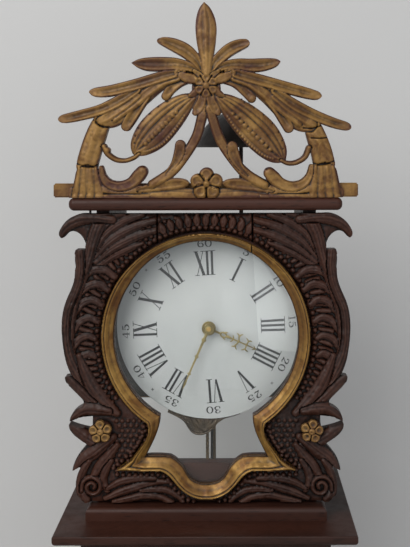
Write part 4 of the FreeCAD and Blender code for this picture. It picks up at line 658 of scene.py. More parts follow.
def reliefPiece(name, relief, backY, material, soften=0, turn=None, wideShare=0.5):
    height = spread(relief.height, (relief.inside > 0) & (relief.height > 0), 4)
    for _ in range(soften):
        height = 0.5 * height + 0.5 * blurred(height, 1)
    mean = (relief.inside[:-1, :-1] + relief.inside[1:, :-1] + relief.inside[1:, 1:]
            + relief.inside[:-1, 1:]) / 4
    cells = mean > -0.2 * relief.cell
    cells[[0, -1], :] = False
    cells[:, [0, -1]] = False
    used, x, z = fittedOutline(relief, cells)
    points = used > 0
    count = int(points.sum())
    number = np.full(relief.x.shape, -1)
    number[points] = np.arange(count)
    if turn is not None:  # drawn upright, then turned clockwise about the dial's middle
        way = math.radians(turn)
        x, z = (dial["x"] + x * math.cos(way) + z * math.sin(way),
                dial["rise"] - x * math.sin(way) + z * math.cos(way))
    front = np.stack([x[points], backY - height[points], z[points] + headFloor], axis=1)
    back = front.copy()
    back[:, 1] = backY
    quads = (number[:-1, :-1], number[1:, :-1], number[1:, 1:], number[:-1, 1:])
    loops, plain = backLoops(number, cells)
    corners = [quad[cells] for quad in quads]
    faces = [np.stack(corners, axis=1),
             np.stack([quad[plain] for quad in reversed(quads)], axis=1) + count]
    faces = np.vstack(faces + wallFaces(corners, cells, count))
    corners = np.concatenate([faces.ravel()] + [loop + count for loop in loops])
    sizes = np.concatenate([np.full(len(faces), 4), [len(loop) for loop in loops]]).astype(int)
    kept = np.zeros(2 * count, bool)
    kept[corners] = True
    fresh = np.cumsum(kept) - 1
    mesh = meshPiece(name, (np.vstack([front, back]) * mm)[kept], fresh[corners], sizes, material)
    # how hollow and how near the rim each point is, for the painted shade in hollows, the painted
    # highlight on ridges, and the worn and painted-shaded rim
    depth = blurred(height, max(round(shadeAndWearReach["fine"] / relief.cell), 1)) - height
    wide = blurred(height, max(round(shadeAndWearReach["broad"] / relief.cell), 2)) - height
    rim = 1 - np.clip(relief.inside / shadeAndWearReach["rim"], 0, 1)
    for label, field in (("carveDepth", depth + wideShare * wide), ("carveRim", rim)):
        values = np.concatenate([field[points], np.zeros(count)])[kept].astype(np.float32)
        mesh.attributes.new(label, "FLOAT", "POINT").data.foreach_set("value", values)
    smoothed(mesh)
    countTriangles("relief", name, mesh)
    return addObject(name, mesh)


def dress(piece, body, node):
    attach(piece, body)
    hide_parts(node)


def around(count, x, y, wide, tall, turn=0):
    # places evenly round a middle, from the top on
    for index in range(count):
        angle = math.radians(90 + turn + 360 / count * index)
        yield x + wide * math.cos(angle), y + tall * math.sin(angle)


# crest: drawn in its own units, turned to mm from the middle and the head's floor
crest = {"unit": 0.2310, "middle": 789.4, "top": 2801.3, "box": (-190, 190, 398, 650),
         "backY": -80, "cell": 0.85, "thin": 4, "thick": 18, "broadMarks": (8, 0.32, 4),
         "fineMarks": (3, 0.192, 5), "stripEnd": 192, "stripLow": 401.5, "stripHigh": 419,
         "stripBack": -68, "stripBevel": 1.6}


def crestRows(rows):
    unit = crest["unit"]
    return [((x - crest["middle"]) * unit, (crest["top"] - y) * unit, wide * unit)
            for x, y, wide in rows]


def crestRelief():
    relief = Relief(crest["box"], crest["cell"])

    def leaf(rows, base, crown, **more):
        carve(relief, crestRows(rows), base, crown, **more)

    def pair(left, right, base, crown, tilt=0.0, lines=(), **more):
        # the two sides are alike but each cut by hand
        leaf(left, base, crown, tilt=tilt, lines=lines, **more)
        leaf(right, base, crown, tilt=-tilt, lines=[(-offset, *cut) for offset, *cut in lines],
             **more)

    def spot(x, y, radius, base, crown, **more):
        dome(relief, *crestRows([(x, y, radius)])[0], base, crown, **more)

    def cut(rows, depth):
        leaf(rows, (0, 0), depth, mode="sink", power=1.4)

    blade = {"power": 4, "rim": 1.3, "channel": (1.9, 0.42)}

    # base with its long leaves
    leaf([(84, 1040, 40), (400, 1040, 34), (800, 1044, 30), (1180, 1040, 34), (1500, 1040, 40)],
         (9.5, 9.5), 1.2, power=8)
    pair([(230, 1012, 22), (330, 1020, 26), (430, 1018, 22), (486, 1012, 12)],
         [(1350, 1012, 22), (1240, 1022, 26), (1140, 1020, 22), (1082, 1012, 12)],
         (11, 11.5), 2.4, tilt=-0.8, power=3, rim=0.8)
    pair([(215, 1058, 14), (340, 1056, 16), (470, 1058, 15), (488, 1054, 10)],
         [(1365, 1058, 14), (1230, 1056, 16), (1100, 1060, 15), (1078, 1054, 10)],
         (11, 11), 1.8, power=3)
    pair([(505, 1054, 18), (610, 1052, 22), (720, 1056, 20)],
         [(1066, 1056, 18), (970, 1052, 22), (865, 1056, 20)], (10.5, 10.5), 1.6, power=3, rim=0.7)
    pair([(430, 1022, 14), (520, 1004, 26), (610, 990, 32), (668, 986, 24), (697, 986, 6)],
         [(1150, 1026, 14), (1070, 1006, 26), (980, 992, 32), (915, 988, 24), (884, 988, 6)],
         (11, 11.5), 2.2, tilt=0.8, channel=(1.5, 0.5), power=3)
    # side stems, smooth above a crease and spread below it
    pair([(238, 630, 42), (210, 695, 52), (182, 770, 56), (158, 850, 57), (149, 890, 57)],
         [(1362, 660, 42), (1388, 730, 52), (1412, 800, 56), (1427, 860, 58), (1432, 880, 58)],
         (12.4, 11.6), 4.2, power=2.4, lines=[(0.35, 1.3, 3.2), (-0.45, 0.9, 2.6)])
    pair([(150, 946, 64), (151, 975, 70), (152, 1010, 78), (154, 1064, 86)],
         [(1436, 938, 66), (1439, 970, 70), (1442, 1010, 75), (1446, 1064, 80)],
         (11.4, 10.8), 1.8, power=4)
    for tilt, start, folds in (
            (0.6, 905, ((106, 84, 17), (134, 122, 20), (166, 166, 22), (196, 214, 24))),
            (-0.6, 898, ((1386, 1372, 22), (1416, 1418, 20), (1448, 1460, 20), (1478, 1502, 17)))):
        for top, foot, wide in folds:
            leaf([(top, start, 10), ((top + foot) / 2, 975, wide * 0.9),
                  (foot, 1060, wide * 1.15)], (11.8, 11.6), 2.2, power=2.6, mode="higher",
                 tilt=tilt)
            spot(foot, 1056, wide * 0.95, 12.4, 2.0)
    # curls that spring from the feet
    pair([(226, 900, 12), (236, 950, 20), (272, 990, 26), (330, 1002, 30), (388, 984, 32),
          (425, 948, 36), (446, 922, 33)],
         [(1362, 895, 12), (1350, 950, 20), (1312, 992, 26), (1252, 1006, 30), (1196, 988, 32),
          (1158, 955, 36), (1136, 932, 33)], (11, 12), 3.2, tilt=-0.7, power=3,
         channel=(1.4, 0.5))
    spot(449, 918, 22, 12.6, 3)
    spot(1134, 928, 22, 12.6, 3)
    # stems that fork from the knot
    pair([(778, 585, 30), (764, 655, 27), (735, 745, 27), (668, 850, 27), (600, 928, 28),
          (500, 990, 24)],
         [(818, 585, 30), (838, 665, 27), (874, 760, 27), (940, 860, 27), (1015, 940, 29),
          (1110, 995, 26)], (12.4, 11), 3.4, tilt=0.8, power=2.6, channel=(1.0, 0.5))
    # lobed leaves on the fork
    pair([(575, 935, 8), (622, 880, 20), (648, 825, 30), (654, 778, 28)],
         [(1020, 945, 8), (972, 890, 20), (944, 835, 32), (934, 788, 29)],
         (11.6, 12.4), 2.6, channel=(1.8, 0.5), power=3, rim=0.8)
    spot(690, 800, 16, 11.5, 2)
    spot(908, 812, 16, 11.5, 2)
    # pods: a smooth back with small notches, grains in a trough, beads below
    for rows, grains, sign in (
            ([(722, 520, 22), (665, 560, 56), (590, 628, 84), (512, 708, 92), (452, 770, 66),
              (414, 812, 22)], ((640, 592), (458, 778)), 1),
            ([(862, 520, 22), (920, 565, 56), (1000, 636, 84), (1088, 722, 94), (1155, 800, 72),
              (1202, 852, 24)], ((925, 600), (1150, 815)), -1)):
        leaf(rows, (11.4, 10.6), 3.8, power=2.6, tilt=0.8 * sign,
             lines=[(0.22 * sign, 1.8, 1.5), (-0.26 * sign, 1.8, 1.5), (-0.6 * sign, 1.4, 1.2),
                    (0.68 * sign, 0.8, 1.2)])
        for index in range(10):
            share = (index + 0.5) / 10
            x, y = (first + (last - first) * share for first, last in zip(*grains))
            spot(x, y, 13 + 4 * math.sin(math.pi * share), 13.0, 3.4)
        edge = curveThrough(crestRows(rows), 6)
        for index in range(8, len(edge) - 3):
            way = edge[index + 1, :2] - edge[index - 1, :2]
            way = way / np.linalg.norm(way)
            aside = np.array([-way[1], way[0]]) * (edge[index, 2] - 3.0) * sign
            dome(relief, *(edge[index, :2] + aside), 1.9, 12.0, 2.6)
            if index % 3 == 0:
                dome(relief, *(edge[index, :2] - aside * 1.12), 1.1, 0, 1.6, mode="sink")
    # tendrils to the pods
    pair([(240, 785, 16), (262, 826, 15), (305, 856, 14), (355, 862, 13), (402, 846, 12),
          (432, 824, 10)],
         [(1350, 795, 16), (1326, 846, 15), (1280, 874, 14), (1235, 878, 13), (1198, 862, 11)],
         (11, 10.5), 3)
    spot(258, 806, 17, 12, 3)
    # small hanging leaves
    pair([(700, 424, 20), (650, 440, 26), (605, 474, 27), (576, 514, 24)],
         [(884, 424, 20), (950, 442, 26), (1002, 484, 27), (1040, 526, 25)],
         (11.5, 11), 2.4, channel=(1.6, 0.45), power=3, rim=0.8)
    # plumes: broad folds that end in hanging leaves
    pair([(650, 402, 30), (545, 440, 44), (450, 500, 58), (360, 570, 66), (290, 618, 62),
          (250, 640, 48)],
         [(930, 404, 30), (1040, 440, 44), (1140, 505, 58), (1225, 580, 66), (1300, 640, 62),
          (1350, 665, 48)], (12, 11.5), 2.2, power=4)
    pair([(470, 520, 22), (430, 570, 28), (388, 632, 31), (362, 676, 27)],
         [(1130, 530, 22), (1178, 585, 28), (1218, 645, 31), (1240, 688, 27)],
         (13, 11.5), 2.4, **blade)
    pair([(640, 420, 16), (560, 440, 24), (480, 492, 28), (410, 548, 30), (350, 592, 26),
          (300, 640, 16)],
         [(945, 420, 16), (1030, 446, 24), (1110, 500, 28), (1180, 560, 30), (1240, 612, 26),
          (1300, 668, 16)], (13.6, 13), 2.6, tilt=1.0, power=2.6, channel=(1.2, 0.4))
    pair([(430, 512, 14), (360, 560, 26), (285, 608, 30), (222, 648, 26)],
         [(1160, 520, 14), (1235, 575, 26), (1310, 625, 30), (1372, 668, 26)],
         (14, 12.4), 2.6, tilt=1.0, power=2.6, channel=(1.4, 0.45))
    # long blades, the lowest first
    pair([(420, 480, 22), (330, 535, 30), (225, 586, 29), (110, 617, 28), (30, 634, 24),
          (8, 636, 14)],
         [(1165, 488, 22), (1270, 562, 30), (1370, 614, 29), (1470, 656, 28), (1545, 678, 24),
          (1564, 684, 14)], (13.6, 10.5), 2.2, tilt=0.8, **blade)
    pair([(665, 380, 22), (560, 408, 30), (420, 450, 31), (290, 482, 31), (205, 492, 26),
          (176, 490, 13)],
         [(915, 380, 22), (1010, 408, 30), (1150, 447, 31), (1290, 487, 31), (1380, 510, 26),
          (1406, 514, 13)], (14.2, 11), 2.2, tilt=0.9, **blade)
    pair([(752, 382, 14), (700, 356, 26), (630, 342, 34), (550, 341, 38), (480, 341, 36),
          (435, 338, 24), (397, 335, 4)],
         [(838, 382, 14), (895, 352, 24), (960, 343, 30), (1040, 349, 36), (1105, 345, 34),
          (1160, 336, 24), (1188, 330, 8)], (14, 11.5), 2, tilt=0.7, **blade)
    pair([(772, 378, 12), (742, 322, 28), (690, 274, 38), (630, 241, 36), (575, 221, 26),
          (545, 216, 15)],
         [(818, 385, 12), (850, 328, 28), (905, 276, 34), (955, 246, 33), (1000, 231, 25),
          (1016, 229, 15)], (14.4, 12), 1.6, tilt=0.8, **blade)
    leaf([(796, 405, 30), (798, 350, 30), (797, 290, 40), (795, 205, 53), (794, 130, 56),
          (789, 65, 38), (785, 12, 4)], (14.6, 12.4), 2.6, power=2.6,
         lines=[(0.3, 0.7, 1.8), (-0.3, 0.7, 1.8), (0.0, -0.5, 2.5)])
    # curls beside the knot
    for x, y, turn in ((648, 388, 1), (930, 390, -1)):
        spot(x, y, 27, 13.8, 3.2)
        cut([(x - 12 * turn, y + 4, 4), (x, y - 12, 4), (x + 12 * turn, y, 4), (x, y + 10, 3)], 1.8)
    pair([(660, 402, 20), (700, 418, 28), (742, 425, 24)],
         [(918, 402, 20), (880, 418, 28), (845, 425, 24)], (14.4, 15), 2.4, channel=(1.2, 0.5))
    # the knot: ribbon ends hang from under a large flower
    spot(795, 470, 78, 12.2, 1.0, power=4)
    leaf([(676, 376, 14), (740, 386, 20), (792, 392, 26), (850, 386, 20), (908, 372, 14)],
         (9.5, 9.5), 1, mode="higher")
    spot(798, 545, 50, 12.2, 1.4, power=4)
    for side in (-1, 1):
        for path, base, crown, tilt, more in (
                (((20, 500, 20), (26, 540, 25), (44, 580, 27), (62, 604, 16)), (13.2, 12.6), 2.2,
                 -0.6, {"rim": 0.8, "channel": (1.2, 0.5)}),
                (((40, 470, 18), (66, 500, 20), (88, 512, 12)), (13.0, 12.4), 2.0, 0.6, {}),
                (((14, 440, 14), (34, 404, 19), (66, 380, 12)), (13.4, 12.6), 2.0, 0.5,
                 {"channel": (0.9, 0.5)})):
            leaf([(796 + side * x, y, wide) for x, y, wide in path], base, crown, power=3,
                 tilt=tilt * side, **more)
    for x, y in around(6, 794, 458, 38, -38):
        spot(x, y, 27, 14.2, 2.6)
    for middle, inner, outer in zip(around(6, 794, 458, 43, -43), around(6, 794, 458, 20, -20, 30),
                                    around(6, 794, 458, 62, -62, 30)):
        spot(*middle, 14, 0, 1.4, mode="sink")
        cut([(*inner, 3), (*outer, 6)], 2.2)
    spot(794, 458, 19, 15.6, 2.4, mode="over")
    # creases round the stems
    for rows in ([(96, 878, 6), (140, 894, 7), (180, 894, 7), (214, 882, 6)],
                 [(1366, 878, 6), (1410, 886, 7), (1450, 880, 7), (1496, 862, 6)],
                 [(184, 640, 5), (222, 672, 6), (272, 682, 5)],
                 [(1318, 688, 5), (1370, 690, 6), (1424, 672, 5)],
                 [(1360, 742, 4), (1410, 744, 5), (1462, 738, 4)]):
        cut(rows, 2.4)
    # the flower on the base, five petals round an eye
    for x, y in around(5, 795, 988, 50, -48):
        spot(x, y, 40, 12.4, 3.6, mode="over")
    for middle, inner, outer in zip(around(5, 795, 988, 54, -52), around(5, 795, 988, 18, -18, 36),
                                    around(5, 795, 988, 70, -68, 36)):
        spot(*middle, 22, 0, 1.8, mode="sink")
        cut([(*inner, 4), (*outer, 7)], 2.6)
    spot(795, 988, 19, 15.0, 2.6, mode="over")
    relief.height += toolMarks(relief, *crest["broadMarks"]) + toolMarks(
        relief, *crest["fineMarks"])
    relief.height = np.clip(relief.height, crest["thin"], crest["thick"])
    relief.inside = np.minimum(relief.inside, relief.z - crest["stripLow"])
    return reliefPiece("crestCarving", relief, crest["backY"], looks["crestGilding"], soften=1,
                       wideShare=0.15)


def crestStrip():
    low = (-crest["stripEnd"], crest["backY"], headFloor + crest["stripLow"])
    high = (crest["stripEnd"], crest["stripBack"], headFloor + crest["stripHigh"])
    mesh = bpy.data.meshes.new("crestStrip")
    shape = bmesh.new()
    bmesh.ops.create_cube(shape, size=1)
    for corner in shape.verts:
        corner.co = [(low[k] + high[k]) / 2 * mm + corner.co[k] * (high[k] - low[k]) * mm
                     for k in range(3)]
    bmesh.ops.bevel(shape, geom=shape.edges[:], offset=crest["stripBevel"] * mm, segments=3,
                    affect="EDGES")
    shape.to_mesh(mesh)
    shape.free()
    mesh.materials.append(looks["crestGilding"])
    smoothed(mesh, 40)
    return addObject("crestStrip", mesh)


dress(crestRelief(), "case", "crest_carving")
dress(crestStrip(), "case", "crest_base_strip")
print("stage: crest")


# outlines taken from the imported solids' flat faces

def faceEdges(node, depth):
    # the edges that bound the node's flat faces at one depth, as segments in mm
    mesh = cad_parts[node].data
    places = np.empty(len(mesh.vertices) * 3)
    mesh.vertices.foreach_get("co", places)
    places = places.reshape(-1, 3) / mm
    seen = {}
    for face in mesh.polygons:
        corners = list(face.vertices)
        if all(abs(places[corner, 1] - depth) < 0.05 for corner in corners):
            for first, second in zip(corners, corners[1:] + corners[:1]):
                a = (round(places[first, 0], 2), round(places[first, 2] - headFloor, 2))
                b = (round(places[second, 0], 2), round(places[second, 2] - headFloor, 2))
                if a != b:
                    key = (min(a, b), max(a, b))
                    seen[key] = seen.get(key, 0) + 1
    return [key for key, count in seen.items() if count == 1]


def edgeLoops(segments):
    # segments that touch end to end, the widest loop first
    groups = []
    for start, end in segments:
        joined = [group for group in groups if start in group[0] or end in group[0]]
        ends = {start, end}
        own = [(start, end)]
        for group in joined:
            ends |= group[0]
            own += group[1]
            groups.remove(group)
        groups.append((ends, own))
    return sorted((own for ends, own in groups), key=lambda own: -max(
        abs(point[0]) for segment in own for point in segment))


def distanceInside(relief, segments):
    # distance to the edges, positive within them
    nearest = np.full(relief.x.shape, 1e9)
    crossings = np.zeros(relief.x.shape, int)
    for (startX, startZ), (endX, endZ) in segments:
        wayX, wayZ = endX - startX, endZ - startZ
        length = max(wayX * wayX + wayZ * wayZ, 1e-9)
        share = np.clip(((relief.x - startX) * wayX + (relief.z - startZ) * wayZ) / length, 0, 1)
        gap = np.hypot(relief.x - startX - share * wayX, relief.z - startZ - share * wayZ)
        nearest = np.minimum(nearest, gap)
        if wayZ:
            meets = (relief.z > min(startZ, endZ)) & (relief.z <= max(startZ, endZ))
            crossing = startX + (relief.z - startZ) / wayZ * wayX
            crossings += meets & (relief.x < crossing)
    return np.where(crossings % 2 == 1, nearest, -nearest)


# door carving: drawn in its own units of 1.249 mm across the front, y down
door = {"unit": 1.249, "middle": 206, "level": 185, "rise": 416, "box": (-187, 187, 18, 384),
        "frontY": -88, "backY": -66, "thick": 22, "cell": 1.0, "ground": 13, "arcRise": 226,
        "arcTop": 343, "broadMarks": (7, 0.5, 12), "fineMarks": (3, 0.35, 13),
        "crackDepth": 7, "crackWide": 0.8, "cracks": ((253, 1.0), (157, 0.6)),
        "lipThick": 8.5, "lipCell": 2.0, "lipTrim": 3.6, "trimFrom": 290}
# grains of the neck's ground and the flower's seat, in the same units
grains = {"x": 98, "y": 402, "stepX": 5.8, "stepY": 5.0, "shift": 2.9, "rows": 15, "columns": 9,
          "radius": 2.0, "arcX": 206.3, "arcY": 337, "ribReach": 129.5, "ribFoot": 418,
          "flowerX": 101.3, "flowerY": 430.5, "flowerReach": 15, "seatRadius": 9.5,
          "rightSeatX": 98.8}


def doorRows(rows, side=-1):
    return [((x - door["middle"]) * door["unit"] * -side,
             door["rise"] - (y - door["level"]) * door["unit"], wide * door["unit"])
            for x, y, wide in rows]


def arcSpot(radius, angle):
    # a place around the dial's arch, the angle from the top
    way = math.radians(angle)
    return (radius * door["unit"] * math.sin(way),
            door["arcRise"] + radius * door["unit"] * math.cos(way))


def crackShare(relief, x, wide):
    # an old split that runs down from the top to the arch's middle
    away = relief.x - (x - door["middle"]) * door["unit"]
    return np.exp(-(away / wide) ** 2) * (relief.z > door["arcRise"])


def archTrim(relief, most, start):
    # grows from nothing to its most at the top of the arch
    return most * np.clip((relief.z - start) / (door["arcTop"] - start), 0, 1)


def doorHalf(relief, side):
    def leaf(rows, base=(15, 15), crown=3.2, **more):
        carve(relief, doorRows(rows, side), base, crown, **more)

    def dot(x, y, radius, base, crown, **more):
        dome(relief, *doorRows([(x, y, radius)], side)[0], base, crown, **more)

    # long leaves from the scroll's root towards the top
    for rows in ([(95, 268, 2.5), (110, 257, 4.4), (126, 249, 4.6), (142, 243, 2.6)],
                 [(95, 262, 2.5), (112, 248, 5), (136, 236, 5), (159, 229, 3)],
                 [(94, 257, 2.5), (110, 240, 5), (133, 227, 5), (158, 219, 3)],
                 [(94, 252, 2.5), (104, 234, 4.8), (122, 221, 5), (142, 214, 3)],
                 [(93, 249, 2.5), (99, 230, 4.6), (110, 218, 4.8), (123, 213, 3)]):
        leaf(rows, (16, 14.5), 3.2, groove=1.3, grooveWide=0.9,
             lines=[(0.5, 0.8, 0.8), (-0.5, 0.8, 0.8)])
    # lobes that curl from the side leaf to the ribs
    for rows in ([(84, 276, 2.5), (93, 270, 4.4), (104, 270, 4.6), (114, 277, 3.4)],
                 [(79, 294, 2.5), (88, 286, 4.4), (98, 284, 4.6), (107, 290, 3.4)],
                 [(74, 314, 2.5), (82, 303, 4.4), (92, 300, 4.6), (101, 305, 3.4)],
                 [(71, 334, 2.5), (79, 322, 4.2), (88, 318, 4.4), (97, 322, 3.2)],
                 [(70, 352, 2.5), (77, 341, 4.2), (86, 336, 4.4), (94, 339, 3.2)],
                 [(72, 368, 2.5), (79, 359, 4.2), (87, 354, 4.4), (94, 357, 3.2)]):
        leaf(rows, (16, 14.5), 3, groove=1.2, grooveWide=0.9, lines=[(0.5, 0.7, 0.8)])
    # stem under the scroll, running down the side
    leaf([(101, 219, 7), (95, 232, 7), (91, 246, 6), (87, 262, 5.4), (81, 280, 5), (75, 300, 4.6),
          (71, 322, 4.2), (70, 344, 3.6), (73, 362, 3)], (16, 15.5), 4.4,
         lines=[(0.1, 1.1, 1), (-0.55, 0.9, 0.9), (0.62, 0.9, 0.9)])
    # the leaf along the outer edge with its blunt top
    leaf([(79, 251, 5.4), (80, 266, 5.2), (78, 281, 5), (73, 295, 5), (67, 310, 5.2),
          (65, 328, 5.2), (66, 346, 5.4), (70, 361, 5.6), (78, 377, 6), (88, 392, 6.4),
          (99, 405, 5)], (15.5, 15.5), 4,
         lines=[(0.15, 1.2, 1), (-0.45, 0.9, 0.9), (0.66, 0.9, 0.9)])
    # scroll at the top corner
    leaf([(112, 219, 5), (96, 217, 6), (82, 217, 7.4), (70, 221, 7.2), (62, 228, 6),
          (60, 234, 3.6)], (15.5, 16), 5, lines=[(0.3, 1, 1.1), (-0.3, 0.8, 1)])
    # smooth leaf at the waist
    leaf([(78, 356, 3), (84, 372, 6), (93, 390, 7.4), (105, 405, 7), (116, 414, 4)], (16, 16),
         4.2, lines=[(0.3, 0.9, 1), (-0.4, 0.9, 1)])
    # four tips at the waist, leaves down to the bottom corner
    for rows, base, crown, more in (
            ([(98, 408, 4), (86, 398, 5), (76, 388, 5.4), (66, 378, 4.6)], (14, 13), 4,
             {"groove": 1.6, "grooveWide": 1.4}),
            ([(108, 412, 5), (96, 410, 6.6), (84, 410, 6.4), (74, 416, 4), (67, 423, 1.6)],
             (15, 13), 4.4, {"lines": [(0.25, 1, 1.1)]}),
            ([(108, 446, 5), (98, 445, 6), (86, 439, 6.6), (76, 432, 6), (68, 426, 4)], (15, 13),
             4.4, {"groove": 1.5, "grooveWide": 1.3}),
            ([(112, 438, 4), (102, 446, 6), (92, 454, 7), (82, 461, 6), (71, 473, 1.6)], (16, 13),
             4.2, {"groove": 1.3, "lines": [(0.55, 0.8, 0.9)]}),
            ([(116, 446, 3), (108, 456, 5), (100, 466, 5.6), (93, 476, 4)], (16, 15.5), 3.4,
             {"groove": 1.2}),
            ([(110, 462, 3), (104, 472, 4.4), (102, 482, 4), (106, 492, 3)], (15.5, 15), 3,
             {"groove": 1}),
            ([(88, 462, 3), (82, 470, 4.6), (78, 481, 5), (79, 492, 5), (85, 501, 4)],
             (15.5, 14.5), 3.8, {"lines": [(0.3, 0.9, 0.9)]})):
        leaf(rows, base, crown, **more)
    # scroll in the bottom corner
    spiral = []
    for step in range(15):
        angle = math.radians(200 - 42 * step)
        radius = 11.5 - 0.66 * step
        spiral.append((91 + radius * math.cos(angle), 488 - radius * math.sin(angle),
                       2.7 - 0.05 * step))
    leaf(spiral, (15.5, 16.5), 3.4, lines=[(0.45, 0.6, 0.7)])
    # flowing leaves on the bottom rail
    for rows in ([(104, 500, 2.4), (118, 494, 4), (134, 489, 4.4), (152, 484, 3.6),
                  (168, 483, 2.4)],
                 [(106, 490, 2.4), (120, 483, 4), (136, 480, 4), (154, 480, 3)],
                 [(112, 503, 2), (128, 500, 3.4), (144, 497, 4), (160, 499, 3.4), (172, 504, 2)],
                 [(140, 492, 2), (153, 491, 3.4), (166, 492, 3.6), (177, 498, 3), (184, 505, 2)]):
        leaf(rows, (15, 14.5), 3, groove=1, grooveWide=0.9)
    # grains of the neck's ground, in staggered rows
    for row in range(grains["rows"]):
        y = grains["y"] + grains["stepY"] * row
        leafEdge = max(112 - 10 * math.sin(math.pi * (y - 400) / 74), 108 - 0.1 * (y - 400))
        for column in range(grains["columns"]):
            x = grains["x"] + (row % 2) * grains["shift"] + grains["stepX"] * column
            fromArc = math.hypot(x - grains["arcX"], y - grains["arcY"])
            fromFlower = math.hypot(x - grains["flowerX"], y - grains["flowerY"])
            inRibs = fromArc < grains["ribReach"] and y < grains["ribFoot"]
            if x > leafEdge and not inRibs and fromFlower >= grains["flowerReach"]:
                dot(x, y, grains["radius"], 13.2, 2.6)
    # beads down the neck's gilded edge and along under it
    path = np.vstack([curveThrough(doorRows([(x, y, 1) for x, y in line], side), 24) for line in (
        [(143.5, 422), (142, 432), (137, 444), (127, 456), (111, 470.5)],
        [(116, 476), (140, 476.5), (158, 476), (166, 480), (173, 489), (184, 499.5), (196, 505)])])
    last = path[0, :2] + 99
    for bead in path:
        if np.linalg.norm(bead[:2] - last) > 6.9:
            dome(relief, bead[0], bead[1], 2.7, 14.5, 3.4)
            last = bead[:2]
    # flat seat of the gilded flower
    dot(grains["flowerX"] if side < 0 else grains["rightSeatX"], grains["flowerY"],
        grains["seatRadius"], door["thick"] - 0.1, 0.05, mode="over")


def doorFront(outline):
    relief = Relief(door["box"], door["cell"])
    shape = distanceInside(relief, outline)
    relief.height = door["ground"] - 4 * np.exp(-np.clip(shape, 0, 20) / 2.5)
    relief.inside = np.full(relief.x.shape, 1.0)
    # ribs and beads around the dial's arch
    for number in range(-40, 41):
        angle = number * 3.1
        if abs(angle) > 25:
            carve(relief, [(*arcSpot(115, angle - 0.6), 2.4), (*arcSpot(121, angle), 3.4),
                           (*arcSpot(127, angle + 0.8), 3.2)], (14.6, 15.4), 3.6, groove=0.8)
        dome(relief, *arcSpot(110, angle), 3.1, 14.2, 4)
    doorHalf(relief, -1)
    doorHalf(relief, 1)
    # separate block over the dial: upright leaves under a row of small scrolls
    for number in range(-5, 6):
        angle = number * 4.4
        carve(relief, [(*arcSpot(113.5, angle), 3.4), (*arcSpot(118, angle), 4.9),
                       (*arcSpot(122.5, angle), 2.2)], (15.5, 16), 3.4, groove=1.4,
              grooveWide=1.1)
    for number in range(-4, 5):
        x, z = arcSpot(123.4, number * 5.2 + 1.2)
        dome(relief, x, min(z, 379), 2.6, 15, 3)
    cracks = [share * crackShare(relief, x, door["crackWide"]) for x, share in door["cracks"]]
    relief.height -= door["crackDepth"] * np.maximum(*cracks)
    relief.inside = shape
    relief.height += toolMarks(relief, *door["broadMarks"]) + toolMarks(
        relief, *door["fineMarks"])
    relief.height = np.minimum(relief.height, door["thick"])
    return reliefPiece("carvedDoorFrame", relief, door["backY"], looks["woodCarved"])


def glassLip(outline):
    # the back of the frame that holds the glass, trimmed under the arch as the moulding is
    relief = Relief(door["box"], door["lipCell"])
    hole = distanceInside(relief, faceEdges("head_door_frame", door["backY"]))
    relief.inside = hole - archTrim(relief, door["lipTrim"], door["trimFrom"])
    relief.inside = np.minimum(relief.inside, -distanceInside(relief, outline))
    relief.height = np.full(relief.x.shape, door["lipThick"])
    return reliefPiece("doorGlassLip", relief, door["backY"], looks["woodUp"])


doorOutline = faceEdges("head_door_frame", door["frontY"])
for piece in (doorFront(doorOutline), glassLip(doorOutline)):
    dress(piece, "head_door", "head_door_frame")
print("stage: door carving")


# gilded moulding: a thin bead outside, then a slope towards the glass
sight = {"box": (-134, 134, 20, 360), "cell": 0.75, "frontY": -91, "backY": -77,
         "outerTrim": 1.5, "outerFrom": 300, "innerTrim": 3.4, "innerFrom": 290, "crack": 252,
         "crackDepth": 3, "crackWide": 0.6, "marks": (5, 0.25, 21),
         "shares": [0, 0.04, 0.1, 0.16, 0.21, 0.28, 0.36, 0.6, 0.9, 1],
         "heights": [10.2, 12.6, 13.9, 12.9, 11.2, 11.9, 11.2, 8.0, 5.4, 3.2]}


def sightRelief():
    relief = Relief(sight["box"], sight["cell"])
    loops = edgeLoops(faceEdges("head_door_sight_moulding", sight["frontY"]))
    outer, inner = distanceInside(relief, loops[0]), distanceInside(relief, loops[1])
    outer = outer - archTrim(relief, sight["outerTrim"], sight["outerFrom"])
    inner = inner + archTrim(relief, sight["innerTrim"], sight["innerFrom"])
    relief.inside = np.minimum(outer, -inner)
    share = np.clip(outer, 0, None) / np.maximum(np.clip(outer, 0, None) + np.clip(
        -inner, 0, None), 0.01)
    relief.height = np.interp(share, sight["shares"], sight["heights"])
    crack = sight["crackDepth"] * crackShare(relief, sight["crack"], sight["crackWide"])
    relief.height += toolMarks(relief, *sight["marks"]) - crack
    return reliefPiece("gildedSightMoulding", relief, sight["backY"], looks["sightGilding"])


dress(sightRelief(), "head_door", "head_door_sight_moulding")
print("stage: sight moulding")


# dial figures: thick and thin strokes painted on the domed enamel; the slips turn each hour's
# figure a little, as the painter left them
dial = {"x": 2.5, "rise": 231, "sphere": 904, "front": -46, "slip": -2.9, "ringLow": 67.8,
        "ringHigh": 98.4, "minuteLow": 103.8, "minuteHigh": 113.2, "markRing": 110,
        "romanStep": 6.1, "romanWide": 13, "digitWide": 1.65, "digitStep": 6.1,
        "narrowDigitStep": 3.9, "stem": 1.5, "thick": 1.8, "thin": 0.45, "serif": 0.42,
        "thickLean": 4.2, "thinLean": 4.6, "paintBelow": -0.12, "paintAbove": 0.25,
        "slips": (-3.7, -3.4, -2.4, -1.4, -2.9, -3.4, -5.0, -0.5, -1.3, -2.2, -5.4, -5.4)}


def enamelFront(x, z):
    away = np.hypot(x - dial["x"], z - dial["rise"])
    return dial["front"] + dial["sphere"] - np.sqrt(dial["sphere"] ** 2 - away ** 2)


